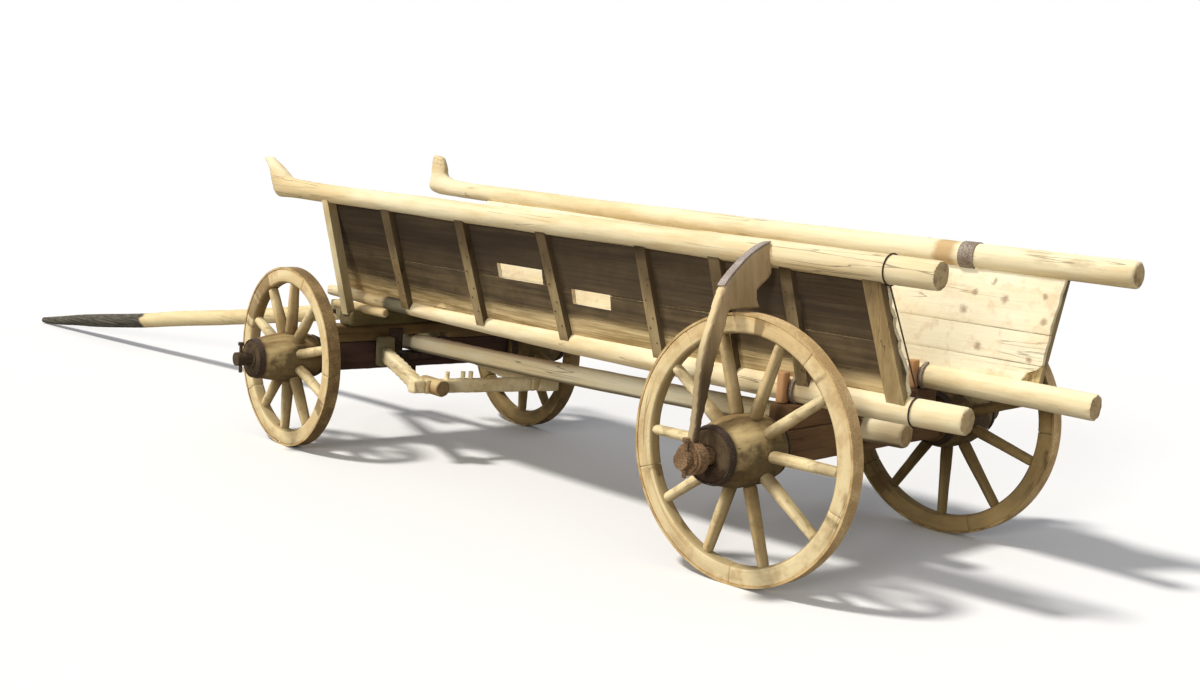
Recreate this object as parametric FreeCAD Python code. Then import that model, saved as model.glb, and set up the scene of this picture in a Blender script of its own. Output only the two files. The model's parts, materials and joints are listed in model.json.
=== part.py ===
import FreeCAD, Part
import math
import os

# A four-wheeled bullock cart in millimetres: +X to the draught pole, +Y to the cart's left, +Z up.
# The ground is at Z = 0, and the origin is at the middle of the whole length.

# Wheels
rear_wheel_radius = 500.0
wheel_step = 73.0
front_wheel_radius = rear_wheel_radius - wheel_step
track = 1397.0
wheelbase = 2675.0
tyre_thickness = 9.0
tyre_width = 62.0
felloe_depth = 66.0
felloe_width = 58.0
felloe_bevel = 9.0
felloe_gap = 2.0
felloe_count = 5
spokes_per_felloe = 2
spoke_hub_width = 44.0
spoke_hub_depth = 58.0
spoke_rim_width = 36.0
spoke_rim_depth = 44.0
spoke_tenon_length = 26.0
spoke_tenon_width = 22.0
spoke_tongue_length = 40.0
spoke_tongue_width = 20.0
spoke_shoulder = 12.0
front_left_turn = 14.0
front_right_turn = 18.0
rear_left_turn = 0.0
rear_right_turn = 19.0

# Naves, turned like a barrel
rear_nave_radius = 132.0
front_nave_radius = 114.0
nave_inner_length = 150.0
nave_outer_length = 202.0
nave_waist = 62.0
nave_mouth_share = 0.74
nave_band_width = 26.0
nave_band_thickness = 5.0

# Axles, with heights counted from the wheels' centres and ends from the naves'
axle_arm_radius = 32.0
axle_arm_seat = 110.0
nave_gap = 8.5
axle_beam_half = track / 2 - nave_inner_length - nave_gap
nave_end = track / 2 + nave_outer_length
rear_arm_overhang = 149.5
front_arm_overhang = 79.5
rear_arm_reach = nave_end + rear_arm_overhang
front_arm_reach = nave_end + front_arm_overhang
rear_axle_width = 120.0
rear_axle_drop = 70.0
rear_axle_rise = 60.0
rear_axle_bottom = rear_wheel_radius - rear_axle_drop
rear_axle_top = rear_wheel_radius + rear_axle_rise
front_axle_width = 112.0
front_axle_drop = 72.0
front_axle_rise = 63.0
front_axle_bottom = front_wheel_radius - front_axle_drop
front_axle_top = front_wheel_radius + front_axle_rise
washer_thickness = 6.0
washer_overhang = 16.0
linch_radius = 8.0
linch_length = 128.0
linch_head = 14.0
linch_edge = 26.0

# Bolsters and perch
rear_bolster_depth = 90.0
bolster_top = rear_axle_top + rear_bolster_depth
bolster_width = 104.0
bolster_half = 500.0
front_bolster_half = 440.0
lower_bolster_depth = 85.0
lower_bolster_top = front_axle_top + lower_bolster_depth
stake_width = 38.0
stake_depth = 40.0
stake_height = 118.0
stake_ahead = 20.0
inner_stake_ahead = -25.0
standard_width = 43.0
standard_depth = 48.0
standard_tenon = 20.0
standard_foot_overhang = 10.0
standard_head_overhang = 40.0
packing_radius = 22.0
packing_out = 360.0
packing_rise = 8.0
packing_rear = 205.0
packing_front = 185.0
perch_front_rise = 42.0
perch_rear_rise = 23.0
perch_front_height = front_wheel_radius + perch_front_rise
perch_rear_height = rear_wheel_radius + perch_rear_rise
perch_front_radius = 44.0
perch_rear_radius = 50.0
perch_front_end = 95.0
perch_tail = 240.0
perch_swing_half = 172.0
perch_swing_gap = 6.0
perch_swing_bottom = perch_front_height - perch_front_radius - perch_swing_gap
perch_swing_top = perch_front_height + perch_front_radius + perch_swing_gap
kingpin_radius = 13.0
kingpin_drop = 45.0
kingpin_head = 12.0

# Body: rails, battens, boards
lower_rail_rise = 50.0
side_height = 500.0
lower_rail_height = bolster_top + lower_rail_rise
top_rail_height = lower_rail_height + side_height
rail_waist = 250.0
rail_front_reach = 2750.0
rail_rear_reach = 1050.0
top_gauge_half = 491.0
top_front_spread = 91.0
top_rear_spread = 18.0
top_front_rise = 12.0
lower_gauge_half = 408.0
lower_front_pinch = 150.0
lower_rear_pinch = 37.0
top_rail_front_radius = 42.0
top_rail_rear_radius = 54.0
lower_rail_front_radius = 27.0
lower_rail_rear_radius = 51.0
lower_rail_overhang = 375.0
lower_rail_front = wheelbase + lower_rail_overhang
left_top_rear = 634.0
right_top_rear = 860.0
left_lower_rear = 715.0
right_lower_rear = 815.0
batten_width = 54.0
batten_thickness = 32.0
batten_out = 38.0
batten_inner = batten_thickness - batten_out
post_width = 76.0
board_thickness = 20.0
board_seam = 3.0
low_board_rise = 52.0
middle_board_rise = 117.0
high_board_rise = 237.0
panel_rise = 446.0
panel_bottom = lower_rail_height + low_board_rise
low_seam = lower_rail_height + middle_board_rise
high_seam = lower_rail_height + high_board_rise
panel_top = lower_rail_height + panel_rise
left_panel_rear = 485.0
right_panel_rear = 580.0
panel_overhang = 130.0
panel_slant = 50.0
panel_front = wheelbase + panel_overhang
bed_rise = 24.0
bed_top = lower_rail_height + bed_rise
bed_thickness = 23.0
bed_planks = 4
bed_rear = 0.0
bed_overhang = 185.0
bed_front = wheelbase + bed_overhang
bearer_height = 38.0
bearer_width = 85.0

# Iron on the rails
left_staple_ahead = -12.0
right_staple_ahead = -55.0
staple_width = 14.0
staple_thickness = 9.0
band_ahead = -153.0
band_width = 68.0
band_thickness = 4.0
wire_radius = 3.0
wire_head_clearance = 71.55
wire_foot_clearance = 56.575

# Horns of the top rails
horn_overhang = 225.0
horn_root = wheelbase + horn_overhang
horn_length = 300.0
horn_height = 190.0
horn_half_width = 40.0

# Crooked side props at the rear axle
prop_thickness = 36.0
prop_foot_height = 45.0
prop_rise = 50.0
prop_top = top_rail_height + prop_rise
prop_head_gap = 40.0
prop_head_out = top_gauge_half + prop_head_gap
prop_foot_inset = 65.0
prop_foot_out = rear_arm_reach - prop_foot_inset
prop_lean_angle = 7.0
prop_ring_width = 46.0
prop_ring_thickness = 26.0
strap_thickness = 5.0
strap_width = 34.0
strap_start = 1

# Fore-carriage
steer_angle = -7.6
hound_rear = 560.0
hound_front = 665.0
hound_rear_half = 338.0
hound_front_half = 79.0
hound_front_rise = 147.0
hound_front_height = front_wheel_radius + hound_front_rise
hound_width = 54.0
hound_depth = 68.0
sway_left = 372.0
sway_right = 480.0
sway_left_drop = 67.0
sway_right_drop = 102.0
sway_left_height = front_wheel_radius - sway_left_drop
sway_right_height = front_wheel_radius - sway_right_drop
sway_width = 62.0
sway_depth = 66.0
tail_pin_radius = 40.0
tail_pin_out = 52.0
tail_pin_side = 245.0
peg_radius = 11.0
peg_height = 34.0

# Draught pole
pole_radius = 46.0
pole_pin_ahead = 600.0
pole_pin_radius = 11.0
pole_length = 4120.0
pole_bend_start = 620.0
pole_bend_end = 1800.0
pole_pin_rise = 121.0
pole_pin_height = front_wheel_radius + pole_pin_rise
yoke_hole_back = 420.0
yoke_hole_radius = 11.0

# Fits and finish
seat = 0.3
slide = 0.5
running = 0.5
overrun = 20.0
edge_break = 4.0
outline_points = 8
full_turn = 2 * math.pi

# Where things stand along X
front_tip = wheelbase + pole_length
middle = (front_tip - right_top_rear) / 2
rear_axle_x = -middle
front_axle_x = rear_axle_x + wheelbase


def vec(x, y, z):
    return FreeCAD.Vector(x, y, z)


def along(distance):
    """Place on X of a point that far ahead of the rear axle."""
    return rear_axle_x + distance


def block(x0, x1, y0, y1, z0, z1):
    return Part.makeBox(x1 - x0, y1 - y0, z1 - z0, vec(x0, y0, z0))


def soft_block(x0, x1, y0, y1, z0, z1, bevel=edge_break):
    """A beam with its long edges broken."""
    beam = block(x0, x1, y0, y1, z0, z1)
    spans = {"X": x1 - x0, "Y": y1 - y0, "Z": z1 - z0}
    longest = max(spans, key=spans.get)
    edges = [edge for edge in beam.Edges if runs_along(edge, longest)]
    return beam.makeChamfer(bevel, edges)


def runs_along(edge, axis_name):
    start, end = edge.Vertexes[0].Point, edge.Vertexes[-1].Point
    step = end - start
    shares = {"X": abs(step.x), "Y": abs(step.y), "Z": abs(step.z)}
    return shares[axis_name] > 0.9 * step.Length


def ring(centre, up, side):
    """Closed smooth curve about a centre, from its two half-size vectors."""
    points = []
    for step in range(outline_points):
        angle = full_turn * step / outline_points
        points.append(centre + up * math.cos(angle) + side * math.sin(angle))
    curve = Part.BSplineCurve()
    curve.interpolate(Points=points, PeriodicFlag=True)
    return curve.toShape()


def log(sections):
    """A round timber, straight between sections of centre, half height and half width vectors."""
    rings = [ring(*section) for section in sections]
    faces = [Part.Face(Part.Wire(rings[0])), Part.Face(Part.Wire(rings[-1]))]
    for start, end in zip(rings[:-1], rings[1:]):
        faces.append(Part.makeRuledSurface(start, end))
    shell = Part.makeShell(faces)
    shell.sewShape()
    return Part.makeSolid(shell)


def eased(sections):
    """The same timber with more sections, on smooth curves through the given ones."""
    count = len(sections)
    smooth = []
    for index in range(count - 1):
        near = [sections[max(0, min(count - 1, index + step))] for step in (-1, 0, 1, 2)]
        for share in ease_shares:
            smooth.append(tuple(curve_point(*vectors, share) for vectors in zip(*near)))
    smooth.append(sections[-1])
    return smooth


ease_shares = [0, 0.33, 0.67]


def curve_point(before, start, end, after, share):
    """Point on a curve from start to end whose slopes follow the neighbours on both sides."""
    rise = share ** 2 * (3 - 2 * share)
    leave = share * (1 - share) ** 2
    arrive = share ** 2 * (share - 1)
    return start + (end - start) * rise + (end - before) * (leave / 2) + (after - start) * (arrive / 2)


def quad_loft(sections):
    """A plank through four-cornered sections, straight from one to the next."""
    wires = [Part.makePolygon(list(corners) + [corners[0]]) for corners in sections]
    return Part.makeLoft(wires, True, True)


def mirror_y(shape):
    return shape.mirror(vec(0, 0, 0), vec(0, 1, 0))


def compound(solids):
    return Part.makeCompound(solids)


def export(name, shape):
    shape.exportStep(os.path.join("parts", name + ".step"))


def blend_share(start, end, share):
    return start + (end - start) * share


# Rails

def bow(distance, front_value, rear_value):
    """Parabola that is zero at the waist and reaches its values at the two ends of the rails."""
    ahead = distance - rail_waist
    if ahead > 0:
        return front_value * (ahead / rail_front_reach) ** 2
    return rear_value * (ahead / rail_rear_reach) ** 2


def rail_share(distance):
    """Share of the way from the rear end of the rails to their front end."""
    whole = rail_front_reach + rail_rear_reach
    return (distance - rail_waist + rail_rear_reach) / whole


def top_rail_point(distance):
    y = top_gauge_half + bow(distance, top_front_spread, top_rear_spread)
    z = top_rail_height + bow(distance, top_front_rise, 0)
    return y, z


def lower_rail_point(distance):
    y = lower_gauge_half - bow(distance, lower_front_pinch, lower_rear_pinch)
    return y, lower_rail_height


def top_rail_radius(distance):
    return blend_share(top_rail_rear_radius, top_rail_front_radius, rail_share(distance))


def lower_rail_radius(distance):
    share = rail_share(distance) ** 2
    return blend_share(lower_rail_rear_radius, lower_rail_front_radius, share)


def rail_section(distance, point, radius, extra=0.0):
    y, z = point(distance)
    half = radius(distance) + extra
    return vec(along(distance), y, z), vec(0, 0, half), vec(0, half, 0)


station_shares = [0, 0.1, 0.2, 0.3, 0.4, 0.5, 0.6, 0.7, 0.8, 0.9, 1]


def stations(rear, front):
    return [blend_share(-rear, front, share) for share in station_shares]


# Each row: inner x, inner z, outer x, outer z and width of the horn, as shares of its length,
# height and half width, with the height counted from the rail's underside.
left_horn_shares = [
    (0.10, 0.50, 0.10, 0.00, 1.00),
    (0.33, 0.63, 0.55, 0.00, 1.05),
    (0.50, 0.78, 0.68, 0.36, 0.90),
    (0.64, 0.90, 0.75, 0.66, 0.75),
    (0.77, 1.00, 0.97, 0.95, 0.55),
]
right_horn_shares = [
    (0.34, 0.46, 0.34, 0.00, 1.00),
    (0.80, 0.56, 1.16, 0.08, 1.15),
    (0.85, 0.76, 1.21, 0.48, 1.00),
    (0.89, 0.95, 1.21, 0.90, 0.85),
    (0.94, 1.08, 1.18, 1.14, 0.65),
]


def horn_sections(rows, extra):
    y, z = top_rail_point(horn_root)
    base = z - top_rail_radius(horn_root)
    sections = []
    for inner_x, inner_z, outer_x, outer_z, width in rows:
        inner = vec(along(horn_root + horn_length * inner_x), y, base + horn_height * inner_z)
        outer = vec(along(horn_root + horn_length * outer_x), y, base + horn_height * outer_z)
        up = (inner - outer) * 0.5
        up = up * (1 + extra / up.Length)
        sections.append(((inner + outer) * 0.5, up, vec(0, horn_half_width * width + extra, 0)))
    return sections


def top_rail(rear, horn_rows, extra=0.0):
    """A top rail with its horn, or the room it needs when it is grown by an extra."""
    shaft = [rail_section(d, top_rail_point, top_rail_radius, extra) for d in stations(rear, horn_root)]
    return log(shaft[:-2] + eased(shaft[-2:-1] + horn_sections(horn_rows, extra)))


def lower_rail(rear, extra=0.0):
    return log([rail_section(d, lower_rail_point, lower_rail_radius, extra)
                for d in stations(rear, lower_rail_front)])


# Sides

# Foot and head of each batten, as shares of the wheelbase ahead of the rear axle
batten_shares = [
    (0.869, 0.845),
    (0.657, 0.667),
    (0.448, 0.483),
    (0.245, 0.276),
    (0.104, 0.134),
    (-0.022, 0.008),
]
left_post_share = (-0.171, -0.134)
right_post_share = (-0.191, -0.202)


def side_point(distance, height, depth):
    """A point of the side at a height, set in from the surface through the rails' middles."""
    top_y, top_z = top_rail_point(distance)
    low_y, low_z = lower_rail_point(distance)
    lean = math.hypot(top_y - low_y, top_z - low_z) / (top_z - low_z)
    share = (height - low_z) / (top_z - low_z)
    return vec(along(distance), blend_share(low_y, top_y, share) - depth * lean, height)


def side_slab(low, high, inner, outer, distances):
    """A slab that follows the side between two heights and two depths."""
    sections = []
    for distance in distances:
        corners = ((low, inner), (high, inner), (high, outer), (low, outer))
        sections.append([side_point(distance, height, depth) for height, depth in corners])
    return quad_loft(sections)


def side_board(low, high, rear):
    outer = batten_inner + seat
    return side_slab(low, high, outer + board_thickness, outer, stations(rear, panel_front))


def board_room(rear):
    """The room inside the battens, which their inner faces follow."""
    distances = [-rear - post_width] + stations(rear, panel_front) + [panel_front + post_width]
    inner = batten_inner + 2 * board_thickness
    return side_slab(lower_rail_height, top_rail_height + overrun, inner, batten_inner, distances)


batten_height_shares = [0, 0.33, 0.67, 1]


def batten(foot, head, width):
    """An upright from the lower rail's middle to the top rail's middle."""
    top = top_rail_point(head)[1]
    inner = batten_inner + board_seam
    outer = -batten_out
    sections = []
    for share in batten_height_shares:
        distance = blend_share(foot, head, share)
        height = blend_share(lower_rail_height, top, share)
        rear, front = distance - width / 2, distance + width / 2
        sections.append([side_point(rear, height, inner), side_point(front, height, inner),
                         side_point(front, height, outer), side_point(rear, height, outer)])
    return quad_loft(sections)


def side_battens(rooms):
    bars = []
    for foot, head in batten_shares:
        bars.append(batten(foot * wheelbase, head * wheelbase, batten_width).cut(rooms))
    return bars


def end_post(post_share, rooms):
    foot, head = post_share
    return batten(foot * wheelbase, head * wheelbase, post_width).cut(rooms)


# Gaps where pieces of the left boards are gone: rear and front ends as shares of the wheelbase,
# foot and head as heights from the upper seam, in shares of the gap's height.
gap_height = 62.0
gap_shares = [
    (0.497, 0.602, -0.05, 1.0),
    (0.350, 0.434, -1.0, 0.05),
]


def board_gaps():
    gaps = []
    for rear, front, low, high in gap_shares:
        gaps.append(block(along(rear * wheelbase), along(front * wheelbase), 0, track / 2,
                          high_seam + low * gap_height, high_seam + high * gap_height))
    return gaps


# Ragged rear edges of the boards: how far each point stands in from the panel's rear end and its
# height, as shares of the panel's height.
left_edge_shares = [
    (0.19, 1.1), (0.185, 0.97), (0.165, 0.87), (0.175, 0.80), (0.13, 0.71), (0.14, 0.62), (0.085, 0.50),
    (0.095, 0.42), (0.05, 0.33), (0.01, 0.22), (0.02, 0.12), (0.00, 0.04), (0.03, -0.02), (0.03, -0.1),
]
right_edge_shares = [
    (-0.02, 1.1), (0.00, 0.97), (0.02, 0.86), (0.015, 0.78), (0.03, 0.68), (0.05, 0.55), (0.04, 0.42),
    (0.055, 0.30), (0.05, 0.18), (0.10, 0.12), (0.20, 0.08), (0.23, 0.03), (0.28, -0.02), (0.28, -0.1),
]


def ragged_cut(rear, edge_shares):
    height = panel_top - panel_bottom
    points = []
    for inset, rise in edge_shares:
        points.append(vec(along(-rear + inset * height), 0, panel_bottom + rise * height))
    outer_x = along(-rear - height)
    points.append(vec(outer_x, 0, points[-1].z))
    points.append(vec(outer_x, 0, points[0].z))
    face = Part.Face(Part.makePolygon(points + [points[0]]))
    return face.extrude(vec(0, track / 2, 0))


def front_cut():
    """Slanting front ends of the boards."""
    height = panel_top - panel_bottom
    corners = []
    for level in (panel_bottom - overrun, panel_top + overrun):
        inset = panel_slant * (level - panel_bottom) / height
        corners.append(vec(along(panel_front - inset), 0, level))
    for corner in reversed(corners):
        corners.append(vec(along(panel_front + panel_slant), 0, corner.z))
    face = Part.Face(Part.makePolygon(corners + [corners[0]]))
    return face.extrude(vec(0, track / 2, 0))


def side_boards(rear, edge_shares, gaps):
    rows = [(panel_bottom, low_seam - board_seam), (low_seam, high_seam - board_seam), (high_seam, panel_top)]
    cuts = [ragged_cut(rear, edge_shares), front_cut()] + gaps
    boards = []
    for low, high in rows:
        board = side_board(low, high, rear)
        for cut in cuts:
            board = board.cut(cut)
        boards.append(board)
    return boards


# Bed

def bed_half(distance):
    y, z = lower_rail_point(distance)
    return y - lower_rail_radius(distance) - board_seam


def bed_plank(number):
    """A plank of the bed, tapered with it."""
    left_share = 1 - 2 * number / bed_planks
    right_share = left_share - 2 / bed_planks
    low = bed_top - bed_thickness
    left_edge, right_edge = [], []
    for distance in stations(bed_rear, bed_front):
        half = bed_half(distance)
        left_edge.append(vec(along(distance), half * left_share - board_seam / 2, low))
        right_edge.append(vec(along(distance), half * right_share + board_seam / 2, low))
    corners = left_edge + right_edge[::-1]
    face = Part.Face(Part.makePolygon(corners + [corners[0]]))
    return face.extrude(vec(0, 0, bed_thickness))


bearer_shares = [0.045, 0.31, 0.68, 0.93]


def bed_bearers(left_envelope, right_envelope):
    bearers = []
    top = bed_top - bed_thickness - seat
    for share in bearer_shares:
        distance = share * wheelbase
        y, z = lower_rail_point(distance)
        bar = soft_block(along(distance) - bearer_width / 2, along(distance) + bearer_width / 2,
                         -y, y, top - bearer_height, top)
        bearers.append(bar.cut(left_envelope).cut(right_envelope))
    return bearers


# Undercarriage

def perch_height(distance):
    share = (distance + perch_tail) / (wheelbase + perch_front_end + perch_tail)
    sag = (perch_rear_height - perch_front_height) * (1 - share) ** 2
    return perch_front_height + sag


def perch_radius(distance):
    return blend_share(perch_rear_radius, perch_front_radius, distance / wheelbase)


def perch(extra=0.0):
    sections = []
    for distance in stations(perch_tail, wheelbase + perch_front_end):
        half = perch_radius(distance) + extra
        sections.append((vec(along(distance), 0, perch_height(distance)), vec(0, 0, half), vec(0, half, 0)))
    return log(sections)


def arm_bore(y0, y1, height, radius, x=0.0):
    return Part.makeCylinder(radius, y1 - y0, vec(x, y0, height), vec(0, 1, 0))


def rear_axle_beam(perch_room):
    beam = soft_block(along(-rear_axle_width / 2), along(rear_axle_width / 2),
                      -axle_beam_half, axle_beam_half, rear_axle_bottom, rear_axle_top)
    beam = beam.cut(perch_room)
    for side in (-1, 1):
        seat_hole = axle_arm(side, rear_arm_reach, rear_wheel_radius, seat)
        seat_hole.translate(vec(rear_axle_x, 0, 0))
        beam = beam.cut(seat_hole)
    return beam


def axle_arm(side, reach, height, extra=0.0):
    """A round arm that starts inside the beam and ends outside the nave."""
    inner = axle_beam_half - axle_arm_seat - extra
    outer = reach + extra
    return Part.makeCylinder(axle_arm_radius + extra, outer - inner,
                             vec(0, side * inner, height), vec(0, side, 0))


def rear_bolster(perch_room, left_envelope, right_envelope):
    beam = soft_block(along(-bolster_width / 2), along(bolster_width / 2),
                      -bolster_half, bolster_half, rear_axle_top + seat, bolster_top)
    return beam.cut(perch_room).cut(left_envelope).cut(right_envelope)


def bolster_stake(ahead, side, lower_room):
    """Upright cleat that holds the lower rail on the rear bolster, at its outer or inner side."""
    y, z = lower_rail_point(ahead)
    middle_y = y + side * (lower_rail_radius(ahead) + stake_depth / 4)
    stake = soft_block(along(ahead) - stake_width / 2, along(ahead) + stake_width / 2,
                       middle_y - stake_depth / 2, middle_y + stake_depth / 2,
                       bolster_top + seat, bolster_top + stake_height)
    return stake.cut(lower_room)


def front_standard(extra=0.0):
    """Leaning post from a slot in the front bolster's end to the top rail's underside."""
    top_y, top_z = top_rail_point(wheelbase)
    foot_out = front_bolster_half + standard_foot_overhang
    head_out = top_y + standard_head_overhang
    half = standard_width / 2 + extra
    sections = []
    for height in (bolster_top - standard_tenon - extra, top_z):
        share = (height - bolster_top) / (top_z - bolster_top)
        outer = blend_share(foot_out, head_out, share) + extra
        inner = outer - standard_depth - 2 * extra
        corners = ((-half, inner), (half, inner), (half, outer), (-half, outer))
        sections.append([vec(front_axle_x + x, y, height) for x, y in corners])
    return quad_loft(sections)


def packing_log(extra=0.0):
    """Short log bedded in the front bolster between the lower rail and the standard."""
    start = vec(along(wheelbase - packing_rear), packing_out, bolster_top + packing_rise)
    return Part.makeCylinder(packing_radius + extra, packing_rear + packing_front, start, vec(1, 0, 0))


def front_bolster(left_envelope, right_envelope):
    beam = soft_block(along(wheelbase - bolster_width / 2), along(wheelbase + bolster_width / 2),
                      -front_bolster_half, front_bolster_half, lower_bolster_top + slide, bolster_top)
    for room in (front_standard(seat), packing_log(seat)):
        beam = beam.cut(room).cut(mirror_y(room))
    return beam.cut(left_envelope).cut(right_envelope).cut(kingpin(seat))


# Iron on the rails

def rail_sleeve(ahead, width, point, radius, extra):
    """A short length of a rail, grown by an extra."""
    ends = (ahead - width / 2, ahead + width / 2)
    return log([rail_section(distance, point, radius, extra) for distance in ends])


def staple_hoop(ahead, extra=0.0):
    return rail_sleeve(ahead, staple_width + 2 * extra, lower_rail_point, lower_rail_radius,
                       staple_thickness + extra)


def rail_staple(ahead, lower_room):
    """Iron staple over the lower rail, with its ends on the rear bolster."""
    hoop = staple_hoop(ahead)
    sunk = block(along(-bolster_width), along(bolster_width), 0, track / 2, rear_axle_top, bolster_top + seat)
    return hoop.cut(lower_room).cut(sunk)


def top_band(extra=0.0):
    """Iron band round the right top rail, filled in."""
    return rail_sleeve(band_ahead, band_width + 2 * extra, top_rail_point, top_rail_radius,
                       band_thickness + extra)


def wire_loop(distance, point, radius):
    y, z = point(distance)
    loop_radius = radius(distance) + wire_radius + seat
    return Part.makeTorus(loop_radius, wire_radius, vec(along(distance), y, z), vec(1, 0, 0))


def stay_wire(top_room, lower_room):
    """Wire behind the left end post, from a loop round the top rail down to one round the lower rail."""
    post_foot_share, post_head_share = left_post_share
    top_ahead = wheelbase * post_head_share - wire_head_clearance
    low_ahead = wheelbase * post_foot_share - wire_foot_clearance
    top_y, top_z = top_rail_point(top_ahead)
    low_y, low_z = lower_rail_point(low_ahead)
    head = vec(along(top_ahead), top_y, top_z - top_rail_radius(top_ahead) - wire_radius - seat)
    foot = vec(along(low_ahead), low_y, low_z + lower_rail_radius(low_ahead) + wire_radius + seat)
    run = foot - head
    wire = Part.makeCylinder(wire_radius, run.Length, head, run)
    wire = wire.fuse(wire_loop(top_ahead, top_rail_point, top_rail_radius))
    wire = wire.fuse(wire_loop(low_ahead, lower_rail_point, lower_rail_radius))
    return wire.cut(top_room).cut(lower_room)


def kingpin(extra=0.0):
    bottom = front_axle_bottom - kingpin_drop
    top = bolster_top + seat
    shank = Part.makeCylinder(kingpin_radius + extra, top - bottom, vec(front_axle_x, 0, bottom))
    head = Part.makeCylinder(2 * kingpin_radius, kingpin_head, vec(front_axle_x, 0, top))
    if extra:
        return shank
    return shank.fuse(head).removeSplitter()


# Wheels, built about their own centre with the axle along Y and the outer face at +Y

def revolve_about_y(points, degrees=360.0, start=0.0):
    """Solid of revolution from (radius, y) points."""
    corners = [vec(radius, y, 0) for radius, y in points]
    face = Part.Face(Part.makePolygon(corners + [corners[0]]))
    solid = face.revolve(vec(0, 0, 0), vec(0, 1, 0), degrees)
    solid.rotate(vec(0, 0, 0), vec(0, 1, 0), start)
    return solid


def tyre(radius):
    half = tyre_width / 2
    inner = radius - tyre_thickness
    return revolve_about_y([(inner, -half), (radius, -half), (radius, half), (inner, half)])


def square_bar(start, end, width):
    """A square bar along +X."""
    return block(start, end, -width / 2, width / 2, -width / 2, width / 2)


def spoke_sockets(radius, nave_radius):
    """Room for the tenon and for the tongue of one spoke, along +X."""
    tenon = square_bar(nave_radius - spoke_tenon_length - seat, nave_radius + overrun,
                       spoke_tenon_width + 2 * seat)
    rim = radius - tyre_thickness - felloe_depth
    tongue = square_bar(rim - overrun, rim + spoke_tongue_length + seat, spoke_tongue_width + 2 * seat)
    return tenon, tongue


def felloe(radius, number):
    outer = radius - tyre_thickness - seat
    inner = radius - tyre_thickness - felloe_depth
    half = felloe_width / 2
    gap = math.degrees(felloe_gap / outer)
    sweep = 360.0 / felloe_count - gap
    start = (number + 0.25) * 360.0 / felloe_count + gap / 2
    profile = [
        (inner, -half + felloe_bevel), (inner + felloe_bevel, -half), (outer, -half),
        (outer, half), (inner + felloe_bevel, half), (inner, half - felloe_bevel),
    ]
    return revolve_about_y(profile, sweep, start)


def wheel_rim(radius, nave_radius):
    sockets = []
    tongue = spoke_sockets(radius, nave_radius)[1]
    for angle in spoke_angles():
        socket = tongue.copy()
        socket.rotate(vec(0, 0, 0), vec(0, 1, 0), angle)
        sockets.append(socket)
    rims = []
    for number in range(felloe_count):
        rims.append(felloe(radius, number).cut(compound(sockets)))
    return rims


def spoke_angles():
    count = felloe_count * spokes_per_felloe
    return [360.0 * number / count for number in range(count)]


def nave_profile(nave_radius):
    """Radius and place along the axle of the barrel's outline, from the inner to the outer mouth."""
    mouth = nave_radius * nave_mouth_share
    return [
        (mouth, -nave_inner_length),
        (blend_share(mouth, nave_radius, 0.72), blend_share(-nave_inner_length, -nave_waist, 0.55)),
        (nave_radius, -nave_waist),
        (nave_radius, nave_waist),
        (blend_share(mouth, nave_radius, 0.72), blend_share(nave_outer_length, nave_waist, 0.62)),
        (mouth, nave_outer_length),
    ]


def nave(radius, nave_radius):
    bore = axle_arm_radius + running
    outer = nave_profile(nave_radius)
    points = [(bore, -nave_inner_length)] + outer + [(bore, nave_outer_length)]
    barrel = revolve_about_y(points)
    tenon = spoke_sockets(radius, nave_radius)[0]
    for angle in spoke_angles():
        socket = tenon.copy()
        socket.rotate(vec(0, 0, 0), vec(0, 1, 0), angle)
        barrel = barrel.cut(socket)
    return barrel


def nave_bands(nave_radius):
    """Iron hoops shrunk on the two mouths of the barrel."""
    profile = nave_profile(nave_radius)
    bands = []
    for mouth, shoulder in ((profile[0], profile[1]), (profile[-1], profile[-2])):
        share = nave_band_width / abs(shoulder[1] - mouth[1])
        edge = (blend_share(mouth[0], shoulder[0], share), blend_share(mouth[1], shoulder[1], share))
        inner = [(radius + seat, y) for radius, y in (mouth, edge)]
        outer = [(radius + nave_band_thickness, y) for radius, y in reversed(inner)]
        bands.append(revolve_about_y(inner + outer))
    return bands


def spoke(radius, nave_radius):
    rim = radius - tyre_thickness - felloe_depth
    foot = nave_radius + seat
    head = math.sqrt(rim ** 2 - (spoke_rim_width / 2) ** 2) - seat
    body = log([
        (vec(foot, 0, 0), vec(0, spoke_hub_depth / 2, 0), vec(0, 0, spoke_hub_width / 2)),
        (vec(foot + spoke_shoulder, 0, 0), vec(0, spoke_hub_depth / 2, 0), vec(0, 0, spoke_hub_width / 2)),
        (vec(head, 0, 0), vec(0, spoke_rim_depth / 2, 0), vec(0, 0, spoke_rim_width / 2)),
    ])
    tenon = square_bar(nave_radius - spoke_tenon_length, foot + spoke_shoulder, spoke_tenon_width)
    tongue = square_bar(head - spoke_shoulder, rim + spoke_tongue_length, spoke_tongue_width)
    return body.fuse(tenon).fuse(tongue).removeSplitter()


def wheel_spokes(radius, nave_radius):
    spokes = []
    for angle in spoke_angles():
        copy = spoke(radius, nave_radius).copy()
        copy.rotate(vec(0, 0, 0), vec(0, 1, 0), angle)
        spokes.append(copy)
    return spokes


def wheel_nodes(radius, nave_radius):
    return {
        "nave": nave(radius, nave_radius),
        "nave_bands": compound(nave_bands(nave_radius)),
        "spokes": compound(wheel_spokes(radius, nave_radius)),
        "felloes": compound(wheel_rim(radius, nave_radius)),
        "tyre": tyre(radius),
    }


# Fittings at the axle ends

def washer(side, y, height):
    ring = arm_bore(y, y + washer_thickness, height, axle_arm_radius + washer_overhang)
    ring = ring.cut(arm_bore(y - overrun, y + overrun, height, axle_arm_radius + seat))
    return ring if side > 0 else mirror_y(ring)


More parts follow.
